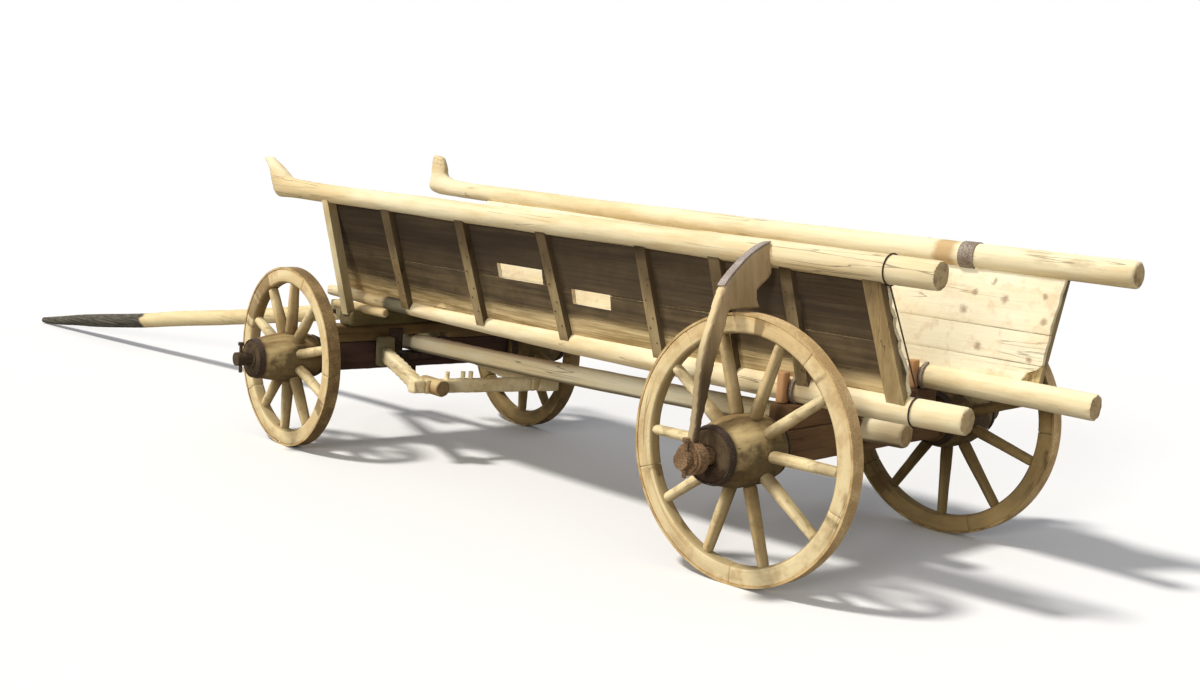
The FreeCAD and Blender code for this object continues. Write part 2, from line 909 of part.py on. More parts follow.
def linch_pin(side, y, height):
    bottom = height - linch_length / 2
    pin = Part.makeCylinder(linch_radius, linch_length, vec(0, y, bottom))
    head = Part.makeCylinder(linch_head, linch_head, vec(0, y, bottom + linch_length))
    whole = pin.fuse(head)
    return whole if side > 0 else mirror_y(whole)


def linch_hole(side, y, height):
    hole = Part.makeCylinder(linch_radius + seat, linch_length, vec(0, y, height - linch_length / 2))
    return hole if side > 0 else mirror_y(hole)


def end_fittings(reach, height, washer_y):
    pins, washers, arms = [], [], []
    pin_y = reach - linch_edge
    for side in (-1, 1):
        arms.append(axle_arm(side, reach, height).cut(linch_hole(side, pin_y, height)))
        pins.append(linch_pin(side, pin_y, height))
        washers.append(washer(side, washer_y, height))
    return arms, pins, washers


# Side props

# Outlines of a prop seen along the cart: across from the rail to the arm's end and up from the
# ring, as shares of the prop's width and height, in order up the outside and down the inside.
prop_shin_shares = [
    (1.000, 0.000), (0.966, 0.043), (0.920, 0.163), (0.887, 0.285), (0.836, 0.443), (0.730, 0.600),
    (0.660, 0.688),
]
prop_shoulder_shares = [
    (0.660, 0.688), (0.562, 0.787), (0.423, 0.862), (0.283, 0.922), (0.164, 0.962), (0.000, 0.997),
]
prop_knee_shares = [
    (0.000, 0.830), (0.055, 0.807), (0.189, 0.752), (0.191, 0.711), (0.153, 0.662), (0.526, 0.662),
]
prop_leg_shares = [
    (0.526, 0.662), (0.587, 0.566), (0.650, 0.471), (0.711, 0.397), (0.771, 0.282), (0.813, 0.204),
    (0.853, 0.142), (0.899, 0.050), (0.908, 0.000),
]


def prop_points(shares):
    base = rear_wheel_radius + prop_foot_height
    outer = prop_foot_out + prop_ring_width / 2
    points = []
    for across, up in shares:
        points.append(vec(0, blend_share(prop_head_out, outer, across), blend_share(base, prop_top, up)))
    return points


def smooth_edge(points):
    curve = Part.BSplineCurve()
    curve.interpolate(Points=points)
    return curve.toShape()


def lean_forward(shape):
    shape.rotate(vec(0, 0, rear_wheel_radius), vec(0, 1, 0), prop_lean_angle)
    shape.translate(vec(rear_axle_x, 0, 0))
    return shape


def side_prop(rail_room):
    shin = prop_points(prop_shin_shares)
    shoulder = prop_points(prop_shoulder_shares)
    leg = prop_points(prop_leg_shares)
    edges = [smooth_edge(shin), smooth_edge(shoulder)]
    corners = [shoulder[-1]] + prop_points(prop_knee_shares)
    for start, end in zip(corners[:-1], corners[1:]):
        edges.append(Part.makeLine(start, end))
    edges.append(smooth_edge(leg))
    edges.append(Part.makeLine(leg[-1], shin[0]))
    plank = Part.Face(Part.Wire(edges)).extrude(vec(prop_thickness, 0, 0))
    plank.translate(vec(-prop_thickness / 2, 0, 0))
    return lean_forward(plank).cut(rail_room).cut(ring_barrel(seat))


def ring_barrel(extra=0.0):
    half = prop_ring_width / 2 + extra
    barrel = arm_bore(prop_foot_out - half, prop_foot_out + half, rear_wheel_radius,
                      axle_arm_radius + prop_ring_thickness + extra)
    barrel.translate(vec(rear_axle_x, 0, 0))
    return barrel


def prop_ring():
    """Iron eye at the prop's foot, slipped over the end of the axle arm."""
    return ring_barrel().cut(placed_arm(seat))


def placed_arm(extra):
    arm = axle_arm(1, rear_arm_reach, rear_wheel_radius, extra)
    arm.translate(vec(rear_axle_x, 0, 0))
    return arm


def prop_strap(rail_room):
    """Iron strip laid on the upper part of the prop's shoulder, up to the rail."""
    points = prop_points(prop_shoulder_shares)
    low = smooth_edge([point + outward(seat) for point in points])
    high = smooth_edge([point + outward(seat + strap_thickness) for point in points])
    start = Part.makeLine(low.Vertexes[0].Point, high.Vertexes[0].Point)
    end = Part.makeLine(low.Vertexes[-1].Point, high.Vertexes[-1].Point)
    face = Part.Face(Part.Wire([low, end, high, start]))
    strip = face.extrude(vec(strap_width, 0, 0))
    strip.translate(vec(-strap_width / 2, 0, 0))
    strip = strip.cut(block(-strap_width, strap_width, 0, track, 0, points[strap_start].z))
    return lean_forward(strip).cut(rail_room)


def outward(distance):
    """Step away from the prop's shoulder, up and to the side."""
    return vec(0, distance, distance)


# Fore-carriage, built about the kingpin and then turned

def steer(shape):
    shape.rotate(vec(0, 0, 0), vec(0, 0, 1), steer_angle)
    shape.translate(vec(front_axle_x, 0, 0))
    return shape


def sway_height(y):
    """Height of the sway bar's middle line, which hangs lower on the right."""
    return blend_share(sway_right_height, sway_left_height, (y + sway_right) / (sway_left + sway_right))


def sway_roll():
    drop = sway_left_height - sway_right_height
    return math.degrees(math.atan2(drop, sway_left + sway_right))


def hound(side, extra=0.0):
    rear_side = side * hound_rear_half
    rear = vec(-hound_rear - sway_width / 2, rear_side, sway_height(rear_side))
    front = vec(hound_front, side * hound_front_half, hound_front_height)
    step = front - rear
    run = math.hypot(step.x, step.y)
    bar = block(-extra, step.Length + extra, -hound_width / 2 - extra, hound_width / 2 + extra,
                -hound_depth / 2 - extra, hound_depth / 2 + extra)
    bar.rotate(vec(0, 0, 0), vec(0, 1, 0), -math.degrees(math.atan2(step.z, run)))
    bar.rotate(vec(0, 0, 0), vec(0, 0, 1), math.degrees(math.atan2(step.y, step.x)))
    bar.translate(rear)
    return bar


def front_axle_beam():
    half = front_axle_width / 2
    beam = soft_block(-half, half, -axle_beam_half, axle_beam_half, front_axle_bottom, front_axle_top)
    beam = beam.cut(block(-half - overrun, half + overrun, -perch_swing_half, perch_swing_half,
                          perch_swing_bottom, front_axle_top + overrun))
    for side in (-1, 1):
        beam = beam.cut(axle_arm(side, front_arm_reach, front_wheel_radius, seat))
        beam = beam.cut(hound(side, seat))
    return beam.cut(pin_hole(front_axle_bottom - overrun, front_axle_top))


def pin_hole(bottom, top):
    return Part.makeCylinder(kingpin_radius + running, top - bottom, vec(0, 0, bottom))


def lower_bolster():
    half = bolster_width / 2
    beam = soft_block(-half, half, -bolster_half, bolster_half, front_axle_top + seat, lower_bolster_top)
    beam = beam.cut(block(-half - overrun, half + overrun, -perch_swing_half, perch_swing_half,
                          front_axle_top - overrun, perch_swing_top))
    for side in (-1, 1):
        beam = beam.cut(hound(side, seat))
    return beam.cut(pin_hole(front_axle_top, lower_bolster_top + overrun))


def sway_bar():
    half = sway_width / 2
    bar = soft_block(-half, half, -sway_right, sway_left, -sway_depth / 2, sway_depth / 2)
    for side in (-1, 1):
        bar = bar.cut(on_ground_axes(hound(side, seat)))
    return rolled(bar.cut(tail_pin_stock(seat)))


def on_ground_axes(shape):
    """The reverse of rolled."""
    shape.translate(vec(hound_rear, 0, -sway_height(0)))
    shape.rotate(vec(0, 0, 0), vec(1, 0, 0), -sway_roll())
    return shape


def rolled(shape):
    """Turns a piece built about the sway bar's middle line to the bar's slope and place."""
    shape.rotate(vec(0, 0, 0), vec(1, 0, 0), sway_roll())
    shape.translate(vec(-hound_rear, 0, sway_height(0)))
    return shape


def tail_pin_stock(extra=0.0):
    start = -sway_width / 2 - tail_pin_out
    length = sway_width + 2 * tail_pin_out
    return Part.makeCylinder(tail_pin_radius + extra, length, vec(start, tail_pin_side, 0), vec(1, 0, 0))


def tail_pin():
    return rolled(tail_pin_stock())


sway_peg_shares = [0.10, 0.22, 0.46]


def sway_pegs():
    top = sway_depth / 2 + seat
    pegs = []
    for share in sway_peg_shares:
        pegs.append(rolled(Part.makeCylinder(peg_radius, peg_height, vec(0, share * sway_left, top))))
    return pegs


# Draught pole

def pole_side(ahead):
    """Sideways place of the pole's middle line: in line with the hounds, then bent to the left."""
    start_slope = math.tan(math.radians(steer_angle))
    end_slope = start_slope * 0.05
    if ahead <= pole_bend_start:
        return start_slope * ahead
    if ahead <= pole_bend_end:
        past = ahead - pole_bend_start
        turn = (end_slope - start_slope) / (pole_bend_end - pole_bend_start)
        return start_slope * ahead + turn * past ** 2 / 2
    straight = ahead - pole_bend_end
    return pole_side(pole_bend_end) + end_slope * straight


# Place ahead of the axle, height and radius of the pole, as shares of its length, of its height at
# the pin and of its radius.
pole_shares = [
    (0.075, 1.075, 0.96),
    (0.150, 0.994, 1.00),
    (0.255, 0.858, 1.00),
    (0.417, 0.657, 0.98),
    (0.534, 0.526, 1.02),
    (0.612, 0.436, 1.02),
    (0.690, 0.341, 1.00),
    (0.816, 0.212, 0.96),
    (0.882, 0.150, 0.82),
    (0.950, 0.078, 0.63),
    (1.000, 0.035, 0.41),
]


def pole_sections():
    sections = []
    for ahead_share, height_share, radius_share in pole_shares:
        ahead = ahead_share * pole_length
        half = pole_radius * radius_share
        centre = vec(ahead, pole_side(ahead), height_share * pole_pin_height)
        sections.append((centre, vec(0, 0, half), vec(0, half, 0)))
    return sections


def pole():
    body = log(eased(pole_sections()))
    body.translate(vec(front_axle_x, 0, 0))
    return body.cut(pole_pin(running)).cut(yoke_hole())


def yoke_hole():
    ahead = pole_length - yoke_hole_back
    start = vec(front_axle_x + ahead, pole_side(ahead), 0)
    return Part.makeCylinder(yoke_hole_radius, pole_pin_height, start)


def pole_pin(extra=0.0):
    half = hound_front_half + hound_width
    pin = Part.makeCylinder(pole_pin_radius + extra, 2 * half, vec(pole_pin_ahead, -half, pole_pin_height),
                            vec(0, 1, 0))
    return steer(pin)


# Writing the pieces

def mirrored(shapes):
    return [mirror_y(shape) for shape in shapes]


left_side = {
    "top_rear": left_top_rear, "lower_rear": left_lower_rear, "horn": left_horn_shares,
    "panel_rear": left_panel_rear, "edge": left_edge_shares, "post": left_post_share,
    "staple": left_staple_ahead,
}
right_side = {
    "top_rear": right_top_rear, "lower_rear": right_lower_rear, "horn": right_horn_shares,
    "panel_rear": right_panel_rear, "edge": right_edge_shares, "post": right_post_share,
    "staple": right_staple_ahead,
}


def side_nodes(name, side, gaps):
    """The pieces of one side, built on the left, with the room their rails take up."""
    top_room = top_rail(side["top_rear"], side["horn"], seat)
    lower_room = lower_rail(side["lower_rear"], seat)
    hoop = staple_hoop(side["staple"], seat)
    rooms = [top_room, lower_room, board_room(side["panel_rear"]), hoop]
    pieces = {
        "top_rail_" + name: [top_rail(side["top_rear"], side["horn"])],
        "lower_rail_" + name: [lower_rail(side["lower_rear"])],
        "battens_" + name: side_battens(rooms),
        "end_post_" + name: [end_post(side["post"], rooms)],
        "side_boards_" + name: side_boards(side["panel_rear"], side["edge"], gaps + [hoop]),
        "side_prop_" + name: [side_prop(top_room)],
    }
    return pieces, top_room, lower_room


def body_nodes():
    left, left_top, left_lower = side_nodes("left", left_side, board_gaps())
    right, right_top, right_lower = side_nodes("right", right_side, [top_band(seat)])
    nodes = {name: compound(solids) for name, solids in left.items()}
    nodes.update({name: compound(mirrored(solids)) for name, solids in right.items()})
    standards = [front_standard().cut(left_top), mirror_y(front_standard().cut(right_top))]
    right_irons = mirrored([rail_staple(right_staple_ahead, right_lower), top_band().cut(right_top)])
    right_stakes = mirrored([bolster_stake(stake_ahead, 1, right_lower),
                             bolster_stake(inner_stake_ahead, -1, right_lower)])
    nodes.update({
        "bed_boards": compound([bed_plank(number) for number in range(bed_planks)]),
        "bolster_stakes": compound([bolster_stake(stake_ahead, 1, left_lower)] + right_stakes),
        "front_standards": compound(standards),
        "packing_logs": compound([packing_log(), mirror_y(packing_log())]),
        "rail_bands": compound([rail_staple(left_staple_ahead, left_lower)] + right_irons),
        "stay_wire": stay_wire(left_top, left_lower),
        "prop_rings": compound([prop_ring(), mirror_y(prop_ring())]),
        "prop_straps": compound([prop_strap(left_top), mirror_y(prop_strap(right_top))]),
        "perch_pole": perch().cut(kingpin(seat)),
        "kingpin": kingpin(),
    })
    right_lower = mirror_y(right_lower)
    nodes["bed_bearers"] = compound(bed_bearers(left_lower, right_lower))
    nodes["front_bolster"] = front_bolster(left_lower, right_lower)
    nodes.update(rear_axle_nodes(left_lower, right_lower))
    return nodes


def rear_axle_nodes(left_lower, right_lower):
    perch_room = perch(seat)
    nodes = {
        "rear_axle_beam": rear_axle_beam(perch_room),
        "rear_bolster": rear_bolster(perch_room, left_lower, right_lower),
    }
    ring_outer = prop_foot_out + prop_ring_width / 2
    arms, pins, washers = end_fittings(rear_arm_reach, rear_wheel_radius, ring_outer + seat)
    fittings = {"rear_axle_arms": arms, "rear_linch_pins": pins, "rear_washers": washers}
    for name, solids in fittings.items():
        group = compound(solids)
        group.translate(vec(rear_axle_x, 0, 0))
        nodes[name] = group
    return nodes


def fore_carriage_nodes():
    arms, pins, washers = end_fittings(front_arm_reach, front_wheel_radius,
                                       nave_end + slide)
    pin = pole_pin()
    hole = pole_pin(seat)
    return {
        "front_axle_beam": steer(front_axle_beam()),
        "front_axle_arms": steer(compound(arms)),
        "front_linch_pins": steer(compound(pins)),
        "front_washers": steer(compound(washers)),
        "lower_bolster": steer(lower_bolster()),
        "hounds": compound([steer(hound(side)).cut(hole) for side in (-1, 1)]),
        "sway_bar": steer(sway_bar()),
        "sway_tail_pin": steer(tail_pin()),
        "sway_pegs": steer(compound(sway_pegs())),
        "pole_pin": pin,
    }


def place_wheel(shape, side, height, turn):
    """A wheel piece turned about its axle and set at its side of the axle."""
    whole = shape.copy()
    whole.rotate(vec(0, 0, 0), vec(0, 1, 0), turn)
    whole.translate(vec(0, track / 2, height))
    return whole if side > 0 else mirror_y(whole)


def wheel_set_nodes():
    rear = wheel_nodes(rear_wheel_radius, rear_nave_radius)
    front = wheel_nodes(front_wheel_radius, front_nave_radius)
    nodes = {}
    for side_name, side, rear_turn, front_turn in (("left", 1, rear_left_turn, front_left_turn),
                                                   ("right", -1, rear_right_turn, front_right_turn)):
        for piece, shape in rear.items():
            placed = place_wheel(shape, side, rear_wheel_radius, rear_turn)
            placed.translate(vec(rear_axle_x, 0, 0))
            nodes["rear_" + side_name + "_" + piece] = placed
        for piece, shape in front.items():
            placed = place_wheel(shape, side, front_wheel_radius, front_turn)
            nodes["front_" + side_name + "_" + piece] = steer(placed)
    return nodes


def main():
    os.makedirs("parts", exist_ok=True)
    nodes = body_nodes()
    nodes.update(fore_carriage_nodes())
    nodes["draught_pole"] = pole()
    nodes.update(wheel_set_nodes())
    for name, shape in nodes.items():
        export(name, shape)


main()
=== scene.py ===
import json
import math
import bmesh
import bpy
from mathutils import Matrix, Vector, noise


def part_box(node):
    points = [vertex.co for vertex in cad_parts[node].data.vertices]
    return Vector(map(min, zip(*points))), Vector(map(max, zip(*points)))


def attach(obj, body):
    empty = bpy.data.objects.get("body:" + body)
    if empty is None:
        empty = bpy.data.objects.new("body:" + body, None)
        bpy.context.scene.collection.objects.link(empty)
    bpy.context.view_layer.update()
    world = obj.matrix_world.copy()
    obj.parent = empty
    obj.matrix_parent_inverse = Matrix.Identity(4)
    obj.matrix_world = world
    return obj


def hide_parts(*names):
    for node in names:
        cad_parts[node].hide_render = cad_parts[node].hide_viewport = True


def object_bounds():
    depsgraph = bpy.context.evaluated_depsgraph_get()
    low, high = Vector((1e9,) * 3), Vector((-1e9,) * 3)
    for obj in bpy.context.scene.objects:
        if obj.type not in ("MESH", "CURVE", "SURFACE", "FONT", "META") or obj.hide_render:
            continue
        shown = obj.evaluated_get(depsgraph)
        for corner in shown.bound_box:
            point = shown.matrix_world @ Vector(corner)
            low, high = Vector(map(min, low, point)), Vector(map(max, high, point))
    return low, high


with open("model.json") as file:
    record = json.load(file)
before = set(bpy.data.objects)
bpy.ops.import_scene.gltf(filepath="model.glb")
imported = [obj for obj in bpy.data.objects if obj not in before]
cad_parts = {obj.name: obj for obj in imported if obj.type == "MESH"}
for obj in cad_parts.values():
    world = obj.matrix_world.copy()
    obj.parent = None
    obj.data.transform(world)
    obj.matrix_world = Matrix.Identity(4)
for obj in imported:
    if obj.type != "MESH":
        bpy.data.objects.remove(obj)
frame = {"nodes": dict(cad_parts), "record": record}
cad_box = [list(corner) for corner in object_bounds()]

# Places on the cart, in metres

BODY_OF = {node: body for body, nodes in frame["record"]["behaviour"]["bodies"].items() for node in nodes}
SLOT_OF = {part["node"]: part["material_slot"] for part in frame["record"]["subparts"]}
MIDDLE_OF = {joint["name"]: joint["pos_m"] for joint in frame["record"]["behaviour"]["joints"]}
REAR_AXLE, HALF_TRACK, REAR_HEIGHT = MIDDLE_OF["rear_left_wheel_turn"]
FRONT_AXLE = MIDDLE_OF["fore_carriage_steer"][0]
FRONT_HEIGHT = MIDDLE_OF["front_left_wheel_turn"][2]
STEER = math.radians(-7.6)
PEELED_END = 2.4975
NAVE_STAIN = 0.02
NAVE_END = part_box("rear_left_nave")[1][1] - HALF_TRACK - NAVE_STAIN


def steered(x, y, z):
    """A point of the fore-carriage, given about the front axle's middle."""
    return Vector((FRONT_AXLE + x * math.cos(STEER) - y * math.sin(STEER),
                   x * math.sin(STEER) + y * math.cos(STEER), z))


WHEELS = {
    "rear_left": (Vector((REAR_AXLE, HALF_TRACK, REAR_HEIGHT)), 0.0),
    "rear_right": (Vector((REAR_AXLE, -HALF_TRACK, REAR_HEIGHT)), 0.0),
    "front_left": (steered(0, HALF_TRACK, FRONT_HEIGHT), STEER),
    "front_right": (steered(0, -HALF_TRACK, FRONT_HEIGHT), STEER),
}


# Camera and light

def pointing(heading, height):
    """The direction with a heading along the floor and a height above it, both as angles."""
    level = math.cos(height)
    return Vector((level * math.cos(heading), level * math.sin(heading), math.sin(height)))


def place_camera(place, heading, pitch, roll, lens):
    forward = pointing(heading, pitch)
    right = forward.cross(Vector((0, 0, 1))).normalized()
    up = right.cross(forward)
    rolled_right = right * math.cos(roll) + up * math.sin(roll)
    rolled_up = up * math.cos(roll) - right * math.sin(roll)
    turn = Matrix((rolled_right, rolled_up, -forward)).transposed().to_4x4()
    camera = bpy.data.objects.new("camera", bpy.data.cameras.new("camera"))
    camera.matrix_world = Matrix.Translation(place) @ turn
    camera.data.sensor_fit = "HORIZONTAL"
    camera.data.sensor_width = 36
    camera.data.lens = lens
    bpy.context.collection.objects.link(camera)
    bpy.context.scene.camera = camera


def add_sun(name, heading, height, strength, softness, colour):
    lamp = bpy.data.lights.new(name, "SUN")
    lamp.energy = strength
    lamp.angle = math.radians(softness)
    lamp.color = colour
    sun = bpy.data.objects.new(name, lamp)
    sun.rotation_euler = pointing(heading, height).to_track_quat("Z", "Y").to_euler()
    bpy.context.collection.objects.link(sun)


place_camera(place=(REAR_AXLE - 3.585, 5.325, 1.685), heading=math.radians(-46.917),
             pitch=math.radians(-8.331), roll=math.radians(3.685), lens=49.19)
bpy.context.scene.view_settings.view_transform = "Standard"
add_sun("key_light", heading=math.radians(56), height=math.radians(57), strength=2.6, softness=8,
        colour=(1.0, 0.96, 0.88))
add_sun("fill_light", heading=math.radians(108), height=math.radians(17), strength=1.1, softness=14,
        colour=(1.0, 0.97, 0.91))


# Shader building

class Value:
    """A node's output socket, whose sums are written as Python expressions."""

    def __init__(self, network, socket):
        self.network = network
        self.socket = socket

    def __add__(self, other):
        return self.network.maths("ADD", self, other)

    def __radd__(self, other):
        return self.network.maths("ADD", other, self)

    def __sub__(self, other):
        return self.network.maths("SUBTRACT", self, other)

    def __rsub__(self, other):
        return self.network.maths("SUBTRACT", other, self)

    def __mul__(self, other):
        return self.network.maths("MULTIPLY", self, other)

    def __rmul__(self, other):
        return self.network.maths("MULTIPLY", other, self)

    def __truediv__(self, other):
        return self.network.maths("DIVIDE", self, other)

    def __rtruediv__(self, other):
        return self.network.maths("DIVIDE", other, self)

    def __neg__(self):
        return self.network.maths("MULTIPLY", self, -1.0)

    def __abs__(self):
        return self.network.maths("ABSOLUTE", self)


class Network:
    """The nodes of a material or a world while they are being laid."""

    def __init__(self, owner):
        owner.use_nodes = True
        self.tree = owner.node_tree
        self.tree.nodes.clear()

    def node(self, kind, settings, sockets, output=0):
        made = self.tree.nodes.new(kind)
        for name, value in settings.items():
            setattr(made, name, value)
        for name, value in sockets.items():
            if isinstance(value, Value):
                self.tree.links.new(value.socket, made.inputs[name])
            else:
                made.inputs[name].default_value = value
        return Value(self, made.outputs[output]) if made.outputs else None

    def maths(self, operation, *values):
        return self.node("ShaderNodeMath", {"operation": operation}, dict(enumerate(values)))

    def parts(self, vector):
        """A vector's x, y and z."""
        split = self.node("ShaderNodeSeparateXYZ", {}, {0: vector})
        return [Value(self, output) for output in split.socket.node.outputs]

    def distance(self, across, up):
        """How far away a point is, from its distances along two axes."""
        return self.maths("SQRT", across * across + up * up)


class Finish(Network):
    """A procedural material for one kind of timber or iron."""

    def __init__(self, name):
        self.material = bpy.data.materials.new(name)
        super().__init__(self.material)
        self.place = self.node("ShaderNodeTexCoord", {}, {}, "Object")
        self.facing = self.node("ShaderNodeTexCoord", {}, {}, "Normal")

    def moved(self, vector, shift, turn):
        """A vector taken to the place and heading of a turned wheel or timber."""
        back = self.node("ShaderNodeVectorMath", {"operation": "SUBTRACT"}, {0: vector, 1: shift})
        return self.node("ShaderNodeMapping", {}, {"Vector": back, "Rotation": turn})

    def joined(self, x, y, z):
        return self.node("ShaderNodeCombineXYZ", {}, {0: x, 1: y, 2: z})

    def noise(self, place, scale=1.0, detail=4.0, roughness=0.55):
        vector, w = place
        return self.node("ShaderNodeTexNoise", {"noise_dimensions": "4D"}, {
            "Vector": vector, "W": w, "Scale": scale, "Detail": detail, "Roughness": roughness})

    def cells(self, place):
        vector, w = place
        return self.node("ShaderNodeTexVoronoi", {"voronoi_dimensions": "4D"}, {
            "Vector": vector, "W": w, "Scale": 1.0}, "Distance")

    def step(self, value, low, high):
        """A mask that rises smoothly from 0 to 1 between two values."""
        return self.node("ShaderNodeMapRange", {"interpolation_type": "SMOOTHSTEP"}, {
            "Value": value, "From Min": low, "From Max": high})

    def within(self, value, low, high, soft):
        """A mask that is 1 between two values, with soft ends."""
        return self.step(value, low - soft, low + soft) * (1.0 - self.step(value, high - soft, high + soft))

    def looks_back(self, low, high):
        """A mask of the faces that look towards the cart's rear."""
        return self.step(-self.parts(self.facing)[0], low, high)

    def about_wheel(self, wheel):
        """A point's x, y and z about a wheel's middle, and its distance from the axle."""
        centre, heading = WHEELS[wheel]
        x, y, z = self.parts(self.moved(self.place, centre, (0, 0, -heading)))
        return x, y, z, self.distance(x, z)

    def mix(self, mask, low, high):
        """A colour between two colours."""
        return self.node("ShaderNodeMix", {"data_type": "RGBA"}, {0: mask, 6: low, 7: high}, 2)

    def surface(self, colour, roughness, height, depth, metallic=0.0):
        bumped = self.node("ShaderNodeBump", {}, {"Distance": depth, "Height": height})
        shader = self.node("ShaderNodeBsdfPrincipled", {}, {
            "Base Color": colour, "Roughness": roughness, "Metallic": metallic, "Normal": bumped,
            "Specular IOR Level": 0.3})
        self.node("ShaderNodeOutputMaterial", {}, {"Surface": shader})
        return self.material


def shade(red, green, blue):
    """A colour from its values on the screen, by the usual curve of screens."""
    def linear(value):
        value /= 255
        return value / 12.92 if value <= 0.04045 else ((value + 0.055) / 1.055) ** 2.4
    return (linear(red), linear(green), linear(blue), 1.0)


# Grain, as (vector, w) for a number of waves along and across a timber

RIM_RADIUS = 0.45
SPOKE_MIDDLE = 0.3


def straight_grain(turn=(0, 0, 0), seed=0.0):
    def place(finish, along, across):
        turned = finish.moved(finish.place, (0, 0, 0), turn)
        x, y, z = finish.parts(turned)
        return finish.joined(x * along, y * across, z * across), seed
    return place


def wheel_grain(wheel, along_rim, seed=0.0):
    """Grain that runs round a wheel's rim, or out along its spokes."""
    def place(finish, along, across):
        x, y, z, radius = finish.about_wheel(wheel)
        span = RIM_RADIUS * along if along_rim else SPOKE_MIDDLE * across
        out = across if along_rim else along
        return finish.joined(x / radius * span, z / radius * span, radius * out), y * across + seed
    return place


ALONG_X = straight_grain()
ALONG_Y = straight_grain((0, 0, math.pi / 2))
ALONG_Z = straight_grain((0, math.pi / 2, 0))


# Wood

def weathered_wood(name, grain, light, middle, dark, stain=0.4, knot=0.4, crack=0.5, fibre=0.25, tint=None,
                   end_grain=None):
    """Bare timber: broad soft patches, fibres, stains, knots, a few drying cracks and browner sawn ends."""
    finish = Finish(name)
    patches = finish.noise(grain(finish, 1.3, 6.0), detail=3.0)
    blots = finish.noise(grain(finish, 7.0, 16.0), detail=4.0, roughness=0.6)
    fibres = finish.noise(grain(finish, 6.0, 170.0), detail=5.0, roughness=0.65)
    streaks = finish.noise(grain(finish, 2.0, 40.0), detail=4.0, roughness=0.6)
    lines = finish.noise(grain(finish, 1.1, 30.0), detail=2.0, roughness=0.4)
    where = finish.noise(grain(finish, 1.9, 7.0), detail=1.0)
    spots = finish.cells(grain(finish, 2.2, 7.0))

    colour = finish.mix(finish.step(patches * 0.55 + streaks * 0.25 + blots * 0.2, 0.38, 0.60), middle, light)
    colour = finish.mix(finish.step(fibres, 0.48, 0.80) * fibre, colour, dark)
    stained = finish.step(patches * 0.4 + where * 0.6, 0.53, 0.70) * finish.step(blots, 0.44, 0.62)
    colour = finish.mix(stained * stain, colour, dark)
    cracks = (1.0 - finish.step(abs(lines - 0.5), 0.002, 0.010)) * finish.step(where, 0.54, 0.60)
    knots = 1.0 - finish.step(spots, 0.04, 0.14)
    colour = finish.mix(knots * knot, colour, dark)
    colour = finish.mix(cracks * crack, colour, shade(70, 50, 32))
    if tint:
        colour = tint(finish, colour, grain)
    if end_grain:
        sawn = finish.looks_back(0.88, 0.97)
        rings = finish.noise((finish.place, 3.0), 30.0, 3.0, 0.5)
        heart = finish.mix(finish.step(rings, 0.36, 0.56), dark, end_grain)
        colour = finish.mix(sawn * 0.75, colour, heart)
    height = fibres * 0.25 + streaks * 0.5 + blots * 0.4 - cracks * 0.8 - knots * 0.3
    return finish.surface(colour, 0.80 + fibres * 0.12, height, 0.003)


# Rust marks round the nails in the side boards: places along the cart, and heights
NAIL_RUST = [(-3.254, 1.110), (-3.174, 1.060), (-3.139, 0.988), (-3.480, 1.078),
             (-3.496, 0.984), (-3.312, 1.049), (-3.469, 0.833), (-3.233, 0.853)]
RUST_SPREADS = (0.018, 0.022, 0.026)


def greyed_boards_with_painted_light(name, outer_sign):
    """Side boards: grey-brown outside, painted darker higher up as the top rail's shade and paler at the foot
    as sunlight; pale inside with rust round the nails.
    """
    def tint(finish, colour, grain):
        across = finish.parts(finish.facing)[1] * outer_sign
        x, y, height = finish.parts(finish.place)
        streaks = finish.noise(grain(finish, 1.6, 46.0), detail=5.0, roughness=0.65)
        broad = finish.noise(grain(finish, 0.9, 6.0), detail=2.0)
        mottled = finish.step(streaks * 0.5 + broad * 0.5, 0.38, 0.62)
        # The outside is painted darker higher up, as the shade of the top rail.
        upper = finish.mix(mottled, shade(60, 48, 36), shade(88, 74, 55))
        lower = finish.mix(finish.step(streaks, 0.36, 0.64), shade(82, 68, 48), shade(112, 95, 69))
        # The foot colour is painted sunlight on the lowest board, below the top rail's shade.
        foot = finish.mix(finish.step(streaks, 0.38, 0.62), shade(164, 138, 92), shade(232, 208, 158))
        grey = finish.mix(1.0 - finish.step(height + broad * 0.16, 0.98, 1.10), upper, lower)
        blots = finish.noise((finish.place, 8.0), 9.0, 4.0, 0.6)
        grey = finish.mix(finish.step(blots, 0.42, 0.62) * 0.4, grey, shade(66, 54, 40))
        grey = finish.mix((1.0 - finish.step(height + broad * 0.12, 0.84, 0.90)) * 0.9, grey, foot)
        ragged = finish.noise((finish.place, 4.0), 60.0, 3.0)
        pink = finish.noise((finish.place, 6.0), 17.0, 4.0, 0.65)
        colour = finish.mix(finish.step(pink, 0.50, 0.66) * 0.4, colour, shade(222, 188, 146))
        rusty = 0.0
        for number, (along, rise) in enumerate(NAIL_RUST):
            away = finish.distance(x - along, height - rise) + (ragged - 0.5) * 0.03
            spread = RUST_SPREADS[number % len(RUST_SPREADS)]
            rusty = rusty + (1.0 - finish.step(away, 0.003, spread))
        colour = finish.mix(rusty * 0.6, colour, shade(126, 82, 54))
        return finish.mix(finish.step(across, 0.1, 0.4), colour, grey)
    return weathered_wood(name, ALONG_X, shade(254, 246, 218), shade(244, 228, 190), shade(154, 110, 72),
                          stain=0.40, knot=0.45, crack=0.35, tint=tint)


def painted_rail_shade(low, high, darker, strength=0.8, behind=0.8):
    """Timber painted dark behind and higher up, as shade on its rear faces and under the rail above it."""
    def tint(finish, colour, grain):
        height = finish.parts(finish.place)[2]
        ragged = finish.noise(grain(finish, 3.0, 12.0), detail=2.0)
        colour = finish.mix(finish.looks_back(0.35, 0.80) * behind, colour, shade(62, 49, 32))
        return finish.mix(finish.step(height + (ragged - 0.5) * 0.25, low, high) * strength, colour, darker)
    return tint


